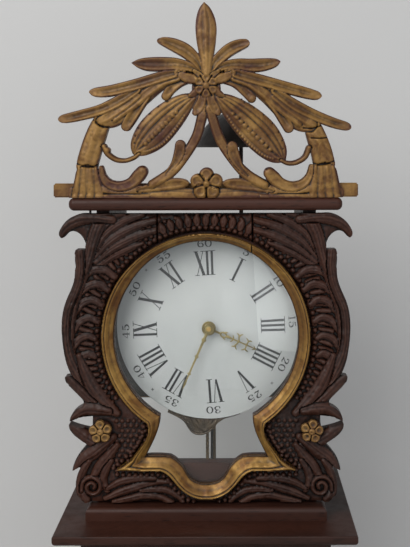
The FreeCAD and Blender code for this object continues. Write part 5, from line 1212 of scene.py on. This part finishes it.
class DialPaint:
    def __init__(self):
        self.places = []
        self.faces = []

    def loop(self, outline, angle):
        # a flat shape with straight sides, laid on the enamel; outline in (across, outward) mm
        way = math.radians(angle + dial["slip"])
        outline = np.array(outline)
        x = dial["x"] + outline[:, 0] * math.cos(way) + outline[:, 1] * math.sin(way)
        z = dial["rise"] - outline[:, 0] * math.sin(way) + outline[:, 1] * math.cos(way)
        y = enamelFront(x, z)
        start = len(self.places)
        count = len(outline)
        for lift in (dial["paintBelow"], dial["paintAbove"]):
            self.places += [(a * mm, (b + lift) * mm, (c + headFloor) * mm)
                            for a, b, c in zip(x, y, z)]
        half = count // 2
        for index in range(half - 1):
            ring = (index, index + 1, count - 2 - index, count - 1 - index)
            self.faces.append([start + corner for corner in ring])
            self.faces.append([start + count + corner for corner in reversed(ring)])
        for index in range(count):
            following = (index + 1) % count
            self.faces.append([start + index, start + count + index, start + count + following,
                               start + following])

    def stroke(self, rows, angle):
        path = curveThrough(rows, 6)
        way = np.gradient(path[:, :2], axis=0)
        way /= np.maximum(np.linalg.norm(way, axis=1), 1e-6)[:, None]
        aside = np.stack([-way[:, 1], way[:, 0]], axis=1) * path[:, 2:3]
        left, right = path[:, :2] + aside, path[:, :2] - aside
        self.loop(np.vstack([left, right[::-1]]), angle)

    def ball(self, x, y, radius, angle):
        turns = np.linspace(0.2, 0.2 - 2 * math.pi, 14, endpoint=False)
        self.loop(np.stack([x + radius * np.cos(turns), y + radius * np.sin(turns)], axis=1), angle)


def romanRows(figure):
    # strokes of one hour's figure: rows of (across, outward, half width)
    low, high = dial["ringLow"], dial["ringHigh"]
    stem, thick, thin = dial["stem"], dial["thick"], dial["thin"]
    lean, thinLean = dial["thickLean"], dial["thinLean"]
    widths = {"I": dial["romanStep"], "V": dial["romanWide"], "X": dial["romanWide"]}
    total = sum(widths[letter] for letter in figure)
    at = -total / 2
    rows = []

    def serif(x, y, wide):
        rows.append([(x - wide, y, dial["serif"]), (x + wide, y, dial["serif"])])

    for letter in figure:
        middle = at + widths[letter] / 2
        if letter == "I":
            rows.append([(middle, low, stem), (middle, high, stem)])
            serif(middle, low, 4.2)
            serif(middle, high, 4.6)
        elif letter == "V":
            rows.append([(middle - lean, high, thick), (middle + 0.2, low + 0.5, 1.2)])
            rows.append([(middle + thinLean, high, thin), (middle + 0.6, low + 0.4, thin)])
            serif(middle - lean, high, 3.6)
            serif(middle + thinLean, high, 2.6)
        else:
            rows.append([(middle - lean, high, thick), (middle + lean, low, thick)])
            rows.append([(middle + thinLean, high, thin), (middle - thinLean, low, thin)])
            for x, y in ((-lean, high), (lean, low), (thinLean, high), (-thinLean, low)):
                serif(middle + x, y, 3.0)
        at += widths[letter]
    return rows


digitRows = {
    "1": ([[(1.7, 0.2, 0.65), (1.7, 9.7, 0.65)], [(0.3, 0.2, 0.2), (3.1, 0.2, 0.2)],
           [(0.3, 8.2, 0.2), (1.5, 9.6, 0.5)]], []),
    "2": ([[(0.8, 7.6, 0.3), (1.2, 9.2, 0.3), (2.8, 9.8, 0.35), (4.3, 8.8, 0.7),
            (4.4, 7.0, 0.8), (3.4, 4.9, 0.5), (1.9, 2.7, 0.3), (0.7, 0.7, 0.3)],
           [(0.6, 0.7, 0.4), (2.2, 1.2, 0.6), (3.8, 0.6, 0.6), (5, 1.7, 0.15)]], [(1.1, 7.4, 0.8)]),
    "3": ([[(0.9, 8.0, 0.25), (1.7, 9.5, 0.3), (3.0, 9.8, 0.35), (4.2, 8.8, 0.7),
            (4.1, 6.8, 0.7), (2.9, 5.5, 0.3), (1.9, 5.2, 0.2)],
           [(1.9, 5.2, 0.2), (3.4, 5.1, 0.3), (4.6, 3.8, 0.7), (4.6, 1.8, 0.75),
            (3.0, 0.3, 0.3), (1.3, 0.7, 0.3), (0.7, 2.0, 0.25)]],
          [(1.1, 7.6, 0.75), (1.1, 2.3, 0.8)]),
    "4": ([[(3.4, 9.7, 0.2), (0.4, 3.2, 0.2)], [(0.3, 3.1, 0.22), (5.3, 3.1, 0.22)],
           [(3.7, 9.7, 0.65), (3.7, 0.2, 0.65)], [(2.5, 0.2, 0.2), (4.9, 0.2, 0.2)]], []),
    "5": ([[(1.2, 9.4, 0.2), (1.0, 5.2, 0.2)],
           [(1.2, 9.2, 0.5), (2.7, 8.8, 0.6), (4.4, 9.6, 0.15)],
           [(1.0, 5.2, 0.2), (2.4, 6.1, 0.3), (4.0, 5.3, 0.7), (4.7, 3.3, 0.8),
            (4.1, 1.3, 0.6), (2.4, 0.2, 0.3), (1.1, 0.8, 0.3), (0.7, 2.0, 0.25)]],
          [(1.1, 2.2, 0.8)]),
    "6": ([[(4.3, 8.4, 0.25), (3.4, 9.6, 0.3), (2.0, 8.7, 0.5), (1.0, 6.2, 0.7),
            (0.9, 3.4, 0.8), (1.6, 1.1, 0.6), (3.0, 0.3, 0.3)],
           [(3.0, 0.3, 0.3), (4.5, 1.3, 0.6), (4.8, 3.2, 0.75), (4.1, 5.1, 0.5),
            (2.8, 5.6, 0.25), (1.5, 4.4, 0.2)]], [(4.1, 8.1, 0.75)]),
    "0": ([[(2.9 + 2.2 * math.cos(turn), 4.9 + 4.6 * math.sin(turn),
             0.22 + 0.55 * abs(math.cos(turn))) for turn in np.linspace(0, 2 * math.pi, 17)]], []),
}


def dialFigures():
    paint = DialPaint()
    hours = ("XII", "I", "II", "III", "IIII", "V", "VI", "VII", "VIII", "IX", "X", "XI")
    middleRing = (dial["ringLow"] + dial["ringHigh"]) / 2
    for number, figure in enumerate(hours):
        for rows in romanRows(figure):
            # strokes narrow a little towards the middle, as the ring does
            rows = [(x * (0.75 + 0.25 * y / middleRing), y, wide) for x, y, wide in rows]
            paint.stroke(rows, 30 * number + dial["slips"][number] - dial["slip"])
    low, scale = dial["minuteLow"], (dial["minuteHigh"] - dial["minuteLow"]) / 10
    for number in range(1, 13):
        figure = str(number * 5)
        steps = [dial["narrowDigitStep"] if digit == "1" else dial["digitStep"]
                 for digit in figure]
        at = -sum(steps) / 2
        for digit, step in zip(figure, steps):
            strokes, balls = digitRows[digit]
            for rows in strokes:
                paint.stroke([((at + x) * dial["digitWide"], low + y * scale, wide * 1.25)
                              for x, y, wide in rows], 30 * number)
            for x, y, radius in balls:
                paint.ball((at + x) * dial["digitWide"], low + y * scale, radius * 1.2,
                           30 * number)
            at += step
    for minute in (7.5, 22.5, 37.5, 52.5):
        for turn in range(4):
            way = math.radians(45 + 90 * turn)
            paint.stroke([(reach * math.cos(way), dial["markRing"] + reach * math.sin(way), wide)
                          for reach, wide in ((0.3, 0.5), (1.9, 0.25))], 6 * minute)
    mesh = bpy.data.meshes.new("dialFigures")
    mesh.from_pydata(paint.places, [], paint.faces)
    mesh.materials.append(looks["figurePaint"])
    shape = bmesh.new()
    shape.from_mesh(mesh)
    bmesh.ops.recalc_face_normals(shape, faces=shape.faces[:])
    shape.to_mesh(mesh)
    shape.free()
    return addObject("dialFigures", mesh)


figures = dialFigures()
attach(figures, "case")
print("stage: dial figures")


# hands: drawn upright as (across, outward, half width), then turned about the dial's middle
hourHand = {"angle": 114, "backY": -51.3, "boss": 9, "bore": 5.6, "box": (-13, 13, -11, 70),
            "cell": 0.3}
minuteHand = {"angle": 203.75, "backY": -56.5, "boss": 6.8, "bore": 2.9, "box": (-9, 9, -9, 86),
              "cell": 0.3, "bossRadii": [0, 3.2, 3.6, 4.5, 4.7, 5.2, 5.6, 6.2, 6.8],
              "bossHeights": [3.3, 3.2, 2.9, 2.7, 1.1, 1.1, 1.7, 1.9, 1.2]}


def hourHandRelief():
    relief = Relief(hourHand["box"], hourHand["cell"])
    for rows in ([(0, 8, 1.5), (0, 17, 1.1)],
                 [(0, 16, 0.9), (2.5, 18.6, 0.9), (2.9, 21.6, 1.0), (1.6, 24.2, 0.9),
                  (0, 25.6, 0.8)],
                 [(2.4, 20.8, 0.9), (4.0, 22.6, 0.9), (4.9, 24.8, 0.35)],
                 [(0, 25, 1.0), (0, 42, 0.85), (0, 66, 0.6)],
                 [(0, 34.6, 0.8), (2.4, 33.8, 0.8), (4.4, 32.2, 0.4)],
                 [(0, 42, 0.9), (3, 41.3, 0.9), (6.2, 40, 1.0)],
                 [(5.6, 40.4, 0.9), (8.0, 38.8, 0.9), (8.9, 36.2, 0.5)],
                 [(5.6, 40.4, 0.9), (8.4, 41.2, 0.9), (10.4, 43.4, 0.5)],
                 [(0, 53, 0.8), (3.0, 53.4, 0.8), (5.4, 53.6, 0.9)],
                 [(5.0, 53.6, 0.8), (6.6, 52.0, 0.8), (8.2, 49.6, 0.4)],
                 [(5.0, 53.6, 0.8), (6.6, 55.2, 0.8), (6.8, 57.8, 0.4)],
                 [(0, 64.2, 0.8), (1.6, 63.4, 0.6), (2.6, 62.0, 0.3)],
                 [(0, 65, 0.9), (0, 68, 0.2)]):
        for side in (-1, 1):
            carve(relief, [(x * side, z, wide) for x, z, wide in rows], (1.0, 0.9), 0.7,
                  mode="higher")
    for z, radius in ((27.2, 1.9), (30.2, 1.5), (42, 1.7), (53, 1.6), (64.4, 1.4)):
        dome(relief, 0, z, radius, 1.2, 0.8)
    dome(relief, 0, 0, hourHand["boss"], 1.6, 0.9, power=8, mode="over")
    away = np.hypot(relief.x, relief.z)
    ring = 1.6 + 0.7 * np.exp(-((away - 8.1) / 0.5) ** 2) + 0.5 * np.exp(
        -((away - 6.4) / 0.6) ** 2) - 0.4 * np.exp(-((away - 7.2) / 0.4) ** 2)
    relief.height = np.where(away < hourHand["boss"], ring, relief.height)
    relief.inside = np.minimum(relief.inside, away - hourHand["bore"])
    return reliefPiece("hourHand", relief, hourHand["backY"], looks["handBrass"],
                       turn=hourHand["angle"])


def minuteHandRelief():
    relief = Relief(minuteHand["box"], minuteHand["cell"])
    carve(relief, [(0, 5, 2.2), (0, 13, 1.7), (0, 36, 1.35), (0, 60, 1.1), (0, 71, 1.0),
                   (0, 76, 1.5), (0, 80, 0.9), (0, 84, 0.15)], (0.9, 0.7), 0.5)
    for z, wide, tall in ((13.6, 2.5, 1.1), (15.4, 3.2, 1.2), (17.0, 2.3, 0.9), (37.2, 1.9, 0.8),
                          (38.4, 2.8, 0.7), (39.6, 1.9, 0.8), (61.4, 1.6, 0.7), (62.4, 2.7, 0.6),
                          (63.4, 1.6, 0.7)):
        carve(relief, [(-wide + tall, z, tall), (wide - tall, z, tall)], (1.0, 1.0), 0.5,
              mode="higher")
    away = np.hypot(relief.x, relief.z)
    boss = np.interp(away, minuteHand["bossRadii"], minuteHand["bossHeights"])
    relief.height = np.where(away < minuteHand["boss"], boss, relief.height)
    relief.inside = np.maximum(relief.inside, minuteHand["boss"] - away)
    relief.inside = np.minimum(relief.inside, away - minuteHand["bore"])
    return reliefPiece("minuteHand", relief, minuteHand["backY"], looks["handBrass"],
                       turn=minuteHand["angle"])


dress(hourHandRelief(), "hour_group", "hour_hand")
dress(minuteHandRelief(), "minute_group", "minute_hand")
print("stage: hands")


# embossed apron under the dial: its lower edge and its top, in mm from the middle and the floor
apron = {"backY": -30, "thick": 1.6, "box": (-56, 48, 84, 152), "cell": 0.55, "middleX": -3.5,
         "middleZ": 106, "shellFoot": 94, "shellReach": 19, "beadRadius": 0.95, "beadStep": 2.7,
         "beadInset": 3.4, "hiddenWithin": 122, "marks": (4, 0.15, 8),
         "edge": [(-52.5, 117.6), (-43.7, 113.4), (-36.9, 109.6), (-31.9, 106.2), (-28.7, 102.0),
                  (-25.6, 96.9), (-22.1, 92.2), (-18.1, 89.3), (-13.4, 87.8), (-8.2, 87.6),
                  (-3.0, 88.9), (2.1, 91.3), (6.0, 94.6), (9.8, 98.8), (13.6, 103.4),
                  (17.4, 106.2), (22.2, 109.0), (29.0, 111.0), (35.9, 112.8), (42.6, 115.2)],
         "top": [(43.5, 121), (43.5, 148), (-50, 148), (-50.2, 124.2)]}


def apronRelief():
    relief = Relief(apron["box"], apron["cell"])
    edge = [point[:2] for point in curveThrough([(x, z, 0) for x, z in apron["edge"]], 4)]
    outline = edge + apron["top"]
    inside = distanceInside(relief, list(zip(outline, outline[1:] + outline[:1])))
    middleX, middleZ = apron["middleX"], apron["middleZ"]
    relief.inside = inside
    relief.height = apron["thick"] + 0.9 * np.exp(-((inside - 1.0) / 0.9) ** 2)
    relief.height += 1.1 * np.exp(-(((relief.x - middleX) / 13) ** 2 + (
        (relief.z - middleZ) / 13) ** 2) ** 2)
    for lean in (-52, -34, -17, 0, 17, 34, 52):
        way = math.radians(lean)
        foot = (middleX, apron["shellFoot"])
        tip = (middleX + apron["shellReach"] * math.sin(way),
               apron["shellFoot"] + apron["shellReach"] * math.cos(way))
        middle = ((foot[0] + tip[0]) / 2 + 1.2 * math.sin(way), (foot[1] + tip[1]) / 2)
        carve(relief, [(*foot, 0.6), (*middle, 2.0), (*tip, 1.6)], (2.6, 2.2), 0.9, mode="higher",
              groove=0.5, grooveWide=0.5)
    dome(relief, middleX, 94.5, 3.0, 2.6, 1.1)
    for side in (-1, 1):
        carve(relief, [(middleX + side * x, z, wide) for x, z, wide in (
            (9, 97, 0.8), (14, 102, 1.3), (16.5, 108, 1.4), (21, 113, 1.3), (27, 115.4, 0.7))],
              (2.2, 2.0), 0.8, mode="higher")
    # small beads along the lower edge
    line = np.array(outline[:len(edge) + 1])
    last = line[0] + 99
    for first, second in zip(line[:-1], line[1:]):
        way = (second - first) / max(np.linalg.norm(second - first), 1e-6)
        for share in (0, 0.5):
            inwards = np.array([-way[1], way[0]]) * apron["beadInset"]
            spot = first + (second - first) * share + inwards
            if np.linalg.norm(spot - last) > apron["beadStep"] and abs(spot[0] + 4) < 34:
                dome(relief, spot[0], spot[1], apron["beadRadius"], 1.9, 0.9)
                last = spot
    hidden = np.hypot(relief.x - dial["x"], relief.z - dial["rise"]) < apron["hiddenWithin"]
    relief.height += toolMarks(relief, *apron["marks"])
    relief.height = np.where(hidden, apron["thick"], relief.height)
    return reliefPiece("embossedApron", relief, apron["backY"], looks["apronBrass"])


dress(apronRelief(), "case", "brass_apron")
print("stage: apron")


# gilded flowers on the door: five hollow petals round an eye
flower = {"x": 132, "rise": 109.5, "radius": 14.4, "backY": -88, "box": (-16, 16, -16, 16),
          "cell": 0.4, "thin": 1, "thick": 7.4, "markPitch": 3.5, "markDepth": 0.25}


def flowerRelief(name, side, tilt, draw):
    relief = Relief(flower["box"], flower["cell"])
    radius = flower["radius"]

    def petals(share, turn=0):
        return around(5, 0, 0, share * radius, share * radius, turn + tilt)

    for middle in petals(0.58):
        dome(relief, *middle, 0.43 * radius, 2.6, 3.0, power=4)
    for middle, inner, outer in zip(petals(0.66), petals(0.2, 36), petals(0.95, 36)):
        dome(relief, *middle, 0.24 * radius, 0, 1.5, mode="sink")
        carve(relief, [(*inner, 0.7), (*outer, 1.1)], (0, 0), 1.8, mode="sink")
    dome(relief, 0, 0, 4.3, 4.6, 2.7, mode="over")
    dome(relief, -0.6, -0.4, 1.5, 0, 0.9, mode="sink")
    relief.height += toolMarks(relief, flower["markPitch"], flower["markDepth"], draw)
    relief.height = np.clip(relief.height, flower["thin"], flower["thick"])
    relief.x = relief.x + side * flower["x"]
    relief.z = relief.z + flower["rise"]
    return reliefPiece(name, relief, flower["backY"], looks["flowerGilding"])


dress(flowerRelief("flowerLeft", -1, 4, 10), "head_door", "rosette_left")
dress(flowerRelief("flowerRight", 1, -9, 12), "head_door", "rosette_right")
print("stage: flowers")


# painted board behind the dial, its top a little under the head's frame
maskBoard = {"half": 123.5, "low": 138, "high": 373, "backY": -26, "thick": 3.8, "bore": 12,
             "box": (-126, 126, 136, 385), "cell": 1.5, "marks": (9, 0.2, 31)}


def maskRelief():
    relief = Relief(maskBoard["box"], maskBoard["cell"])
    sides = np.minimum(maskBoard["half"] - np.abs(relief.x), relief.z - maskBoard["low"])
    away = np.hypot(relief.x - dial["x"], relief.z - dial["rise"])
    relief.inside = np.minimum(np.minimum(sides, maskBoard["high"] - relief.z),
                               away - maskBoard["bore"])
    relief.height = maskBoard["thick"] + toolMarks(relief, *maskBoard["marks"])
    return reliefPiece("maskBoard", relief, maskBoard["backY"], looks["maskPaint"])


dress(maskRelief(), "case", "dial_mask")
print("stage: dial mask")


# pieces that node trees make

def pieceTree(name, inputs):
    # a geometry tree with named inputs, a way in and a way out
    tree = bpy.data.node_groups.new(name, "GeometryNodeTree")
    newSocket(tree, "INPUT", "Geometry", "NodeSocketGeometry")
    for label, value in inputs.items():
        newSocket(tree, "INPUT", label, "NodeSocketFloat", value)
    newSocket(tree, "INPUT", "Material", "NodeSocketMaterial")
    newSocket(tree, "OUTPUT", "Geometry", "NodeSocketGeometry")
    parts = Parts(tree)
    return tree, parts, parts.nodes.new("NodeGroupInput").outputs


def finishTree(parts, made, given):
    real = parts.add("GeometryNodeRealizeInstances", {0: made})
    painted = parts.add("GeometryNodeSetMaterial", {"Geometry": real.outputs[0],
                                                    "Material": given["Material"]})
    parts.add("NodeGroupOutput", {0: painted.outputs[0]})


def treePiece(name, data, tree, values, material):
    # runs the tree on the data and keeps the result as a plain mesh
    carrier = addObject(name + "Carrier", data)
    modifier = carrier.modifiers.new("tree", "NODES")
    modifier.node_group = tree
    values = {**values, "Material": material}
    for socket in tree.interface.items_tree:
        if socket.in_out == "INPUT" and socket.name in values:
            modifier[socket.identifier] = values[socket.name]
    bpy.context.view_layer.update()
    ready = carrier.evaluated_get(bpy.context.evaluated_depsgraph_get())
    mesh = bpy.data.meshes.new_from_object(ready)
    mesh.name = name
    bpy.data.objects.remove(carrier)
    mesh.materials.clear()
    mesh.materials.append(material)
    smoothed(mesh)
    mesh.update()
    countTriangles("tree", name, mesh)
    return addObject(name, mesh)


# ropes: three strands laid round a path over the pulley, mm
rope = {"pitch": 15, "strand": 1.12, "offset": 1.3, "step": 2.4, "sides": 8, "radius": 48,
        "height": 1803, "loadEnd": 1330, "counterEnd": 330, "goingX": -49.89, "goingY": 20,
        "strikeX": 54.89, "strikeY": 50}


def ropeTree():
    tree, parts, given = pieceTree("laidRope", {
        "Pitch": 0.015, "Strand Radius": 0.001, "Strand Offset": 0.001, "Step": 0.002})
    even = parts.nodes.new("GeometryNodeResampleCurve")
    even.mode = "LENGTH"
    parts.put(even.inputs["Curve"], given["Geometry"])
    parts.put(even.inputs["Length"], given["Step"])
    along = parts.nodes.new("GeometryNodeSplineParameter").outputs["Length"]
    turns = parts.math("DIVIDE", along, given["Pitch"])
    normal = parts.nodes.new("GeometryNodeInputNormal").outputs["Normal"]
    tangent = parts.nodes.new("GeometryNodeInputTangent").outputs["Tangent"]
    across = parts.vector("CROSS_PRODUCT", {0: tangent, 1: normal})
    profile = parts.add("GeometryNodeCurvePrimitiveCircle", {
        "Resolution": rope["sides"], "Radius": given["Strand Radius"]}).outputs["Curve"]
    joined = parts.nodes.new("GeometryNodeJoinGeometry")
    for number in range(3):
        angle = parts.times(parts.plus(turns, number / 3), math.tau)
        shifts = [parts.vector("SCALE", {0: way, "Scale": parts.times(
            parts.math(operation, angle), given["Strand Offset"])})
                  for operation, way in (("COSINE", normal), ("SINE", across))]
        moved = parts.add("GeometryNodeSetPosition", {
            "Geometry": even.outputs[0], "Offset": parts.vector("ADD", dict(enumerate(shifts)))})
        tube = parts.add("GeometryNodeCurveToMesh", {
            "Curve": moved.outputs[0], "Profile Curve": profile, "Fill Caps": True})
        parts.put(joined.inputs[0], tube.outputs[0])
    finishTree(parts, joined.outputs[0], given)
    return tree


laidRope = ropeTree()
ropeValues = {"Pitch": rope["pitch"] * mm, "Strand Radius": rope["strand"] * mm,
              "Strand Offset": rope["offset"] * mm, "Step": rope["step"] * mm}
for train, outward in (("going", -1), ("strike", 1)):
    middle, depth = rope[train + "X"], rope[train + "Y"]
    for label, side, low in (("Load", outward, rope["loadEnd"]),
                             ("Counter", -outward, rope["counterEnd"])):
        turns = [math.radians(3 * step) for step in range(31)]
        path = [(middle + side * rope["radius"] * math.sin(turn), depth,
                 rope["height"] + rope["radius"] * math.cos(turn)) for turn in turns]
        path.append((middle + side * rope["radius"], depth, low))
        curve = bpy.data.curves.new(train + label, "CURVE")
        curve.dimensions = "3D"
        spline = curve.splines.new("POLY")
        spline.points.add(len(path) - 1)
        for point, place in zip(spline.points, path):
            point.co = tuple(value * mm for value in place) + (1,)
        piece = treePiece(train + label + "Rope", curve, laidRope, ropeValues, looks["hempRope"])
        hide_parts(train + "_rope")
        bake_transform(piece)
print("stage: ropes")


# pegs that pin the joints of the trunk's frames: rows of (from the stile's middle, height)
peg = {"radius": 3.6, "rise": 0.7, "sunk": 0.8, "taper": 0.8, "sides": 20, "seed": 7,
       "turnLow": (1.55, -0.05, 0), "turnHigh": (1.59, 0.05, 6.28),
       "frontY": -115, "frameStile": 123, "doorStile": 67.5,
       "framePlaces": ((-9, 1560), (9, 1530), (-9, 398), (9, 372)),
       "doorPlaces": ((-7, 1462), (7, 1430), (-7, 492), (7, 452))}


def pegTree():
    tree, parts, given = pieceTree("jointPegs", {"Radius": 0.004, "Length": 0.002})
    cone = parts.add("GeometryNodeMeshCone", {
        "Vertices": peg["sides"], "Depth": given["Length"], "Radius Bottom": given["Radius"],
        "Radius Top": parts.times(given["Radius"], peg["taper"])})
    turned = parts.nodes.new("FunctionNodeRandomValue")
    turned.data_type = "FLOAT_VECTOR"
    turned.inputs["Min"].default_value = peg["turnLow"]
    turned.inputs["Max"].default_value = peg["turnHigh"]
    turned.inputs["Seed"].default_value = peg["seed"]
    placed = parts.add("GeometryNodeInstanceOnPoints", {
        "Points": given["Geometry"], "Instance": cone.outputs["Mesh"],
        "Rotation": turned.outputs[0]})
    finishTree(parts, placed.outputs[0], given)
    return tree


jointPegs = pegTree()
pegValues = {"Radius": peg["radius"] * mm, "Length": (peg["rise"] + peg["sunk"]) * mm}
for name, body, label in (("trunkFramePegs", "case", "frame"),
                          ("trunkDoorPegs", "trunk_door", "door")):
    level = (peg["frontY"] + (peg["sunk"] - peg["rise"]) / 2) * mm
    mesh = bpy.data.meshes.new(name)
    mesh.from_pydata([((side * peg[label + "Stile"] + shift) * mm, level, height * mm)
                      for side in (-1, 1) for shift, height in peg[label + "Places"]], [], [])
    piece = treePiece(name, mesh, jointPegs, pegValues, looks["woodUp"])
    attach(piece, body)
print("stage: pegs")


# stage and lights
room = {"floorHalf": 7.0, "wallY": 0.42, "wallHalf": 3.2, "wallTop": 4.2, "skyPower": 0.62,
        "floorTone": (214, 213, 210), "wallTone": (188, 188, 188), "skyTone": (0.92, 0.94, 0.96, 1)}
lamps = {
    "keyLight": {"place": (-1.3, -2.5, 3.6), "target": (0, 0, 1.8), "size": 2.2, "power": 84,
                 "tone": (1, 0.98, 0.95)},
    "fillLight": {"place": (1.2, -3.2, 2.2), "target": (0, 0, 1.6), "size": 2.4, "power": 16,
                  "tone": (0.95, 0.97, 1)},
    "backLight": {"place": (-1.5, 2.6, 3.2), "target": (0, 0, 1.4), "size": 1.8, "power": 40,
                  "tone": (1, 1, 1)},
}


def addPlane(name, corners, tone, clearBack=False):
    look = Look(name)
    if clearBack:
        look.letThrough(look.nodes.new("ShaderNodeNewGeometry").outputs["Backfacing"])
    mesh = bpy.data.meshes.new(name)
    mesh.from_pydata(corners, [], [(0, 1, 2, 3)])
    mesh.materials.append(look.finish({"Base Color": colour(*tone), "Roughness": 0.9,
                                       "Specular IOR Level": 0.1}))
    addObject(name, mesh)


def addLamp(name, lamp):
    data = bpy.data.lights.new(name, "AREA")
    data.shape = "RECTANGLE"
    data.size = lamp["size"]
    data.size_y = lamp["size"]
    data.energy = lamp["power"]
    data.color = lamp["tone"]
    made = addObject(name, data)
    made.location = lamp["place"]
    way = Vector(lamp["target"]) - Vector(lamp["place"])
    made.rotation_euler = way.to_track_quat("-Z", "Y").to_euler()


half = room["floorHalf"]
addPlane("paleFloor", [(-half, -half, 0), (half, -half, 0), (half, half, 0), (-half, half, 0)],
         room["floorTone"])
half, wallY, top = room["wallHalf"], room["wallY"], room["wallTop"]
addPlane("paleWall", [(-half, wallY, 0), (half, wallY, 0), (half, wallY, top), (-half, wallY, top)],
         room["wallTone"], clearBack=True)
for name, lamp in lamps.items():
    addLamp(name, lamp)
world = bpy.data.worlds.new("paleRoom")
bpy.context.scene.world = world
world.use_nodes = True
world.node_tree.nodes["Background"].inputs["Color"].default_value = room["skyTone"]
world.node_tree.nodes["Background"].inputs["Strength"].default_value = room["skyPower"]
bpy.context.scene.view_settings.view_transform = "Standard"
print("stage: lights")
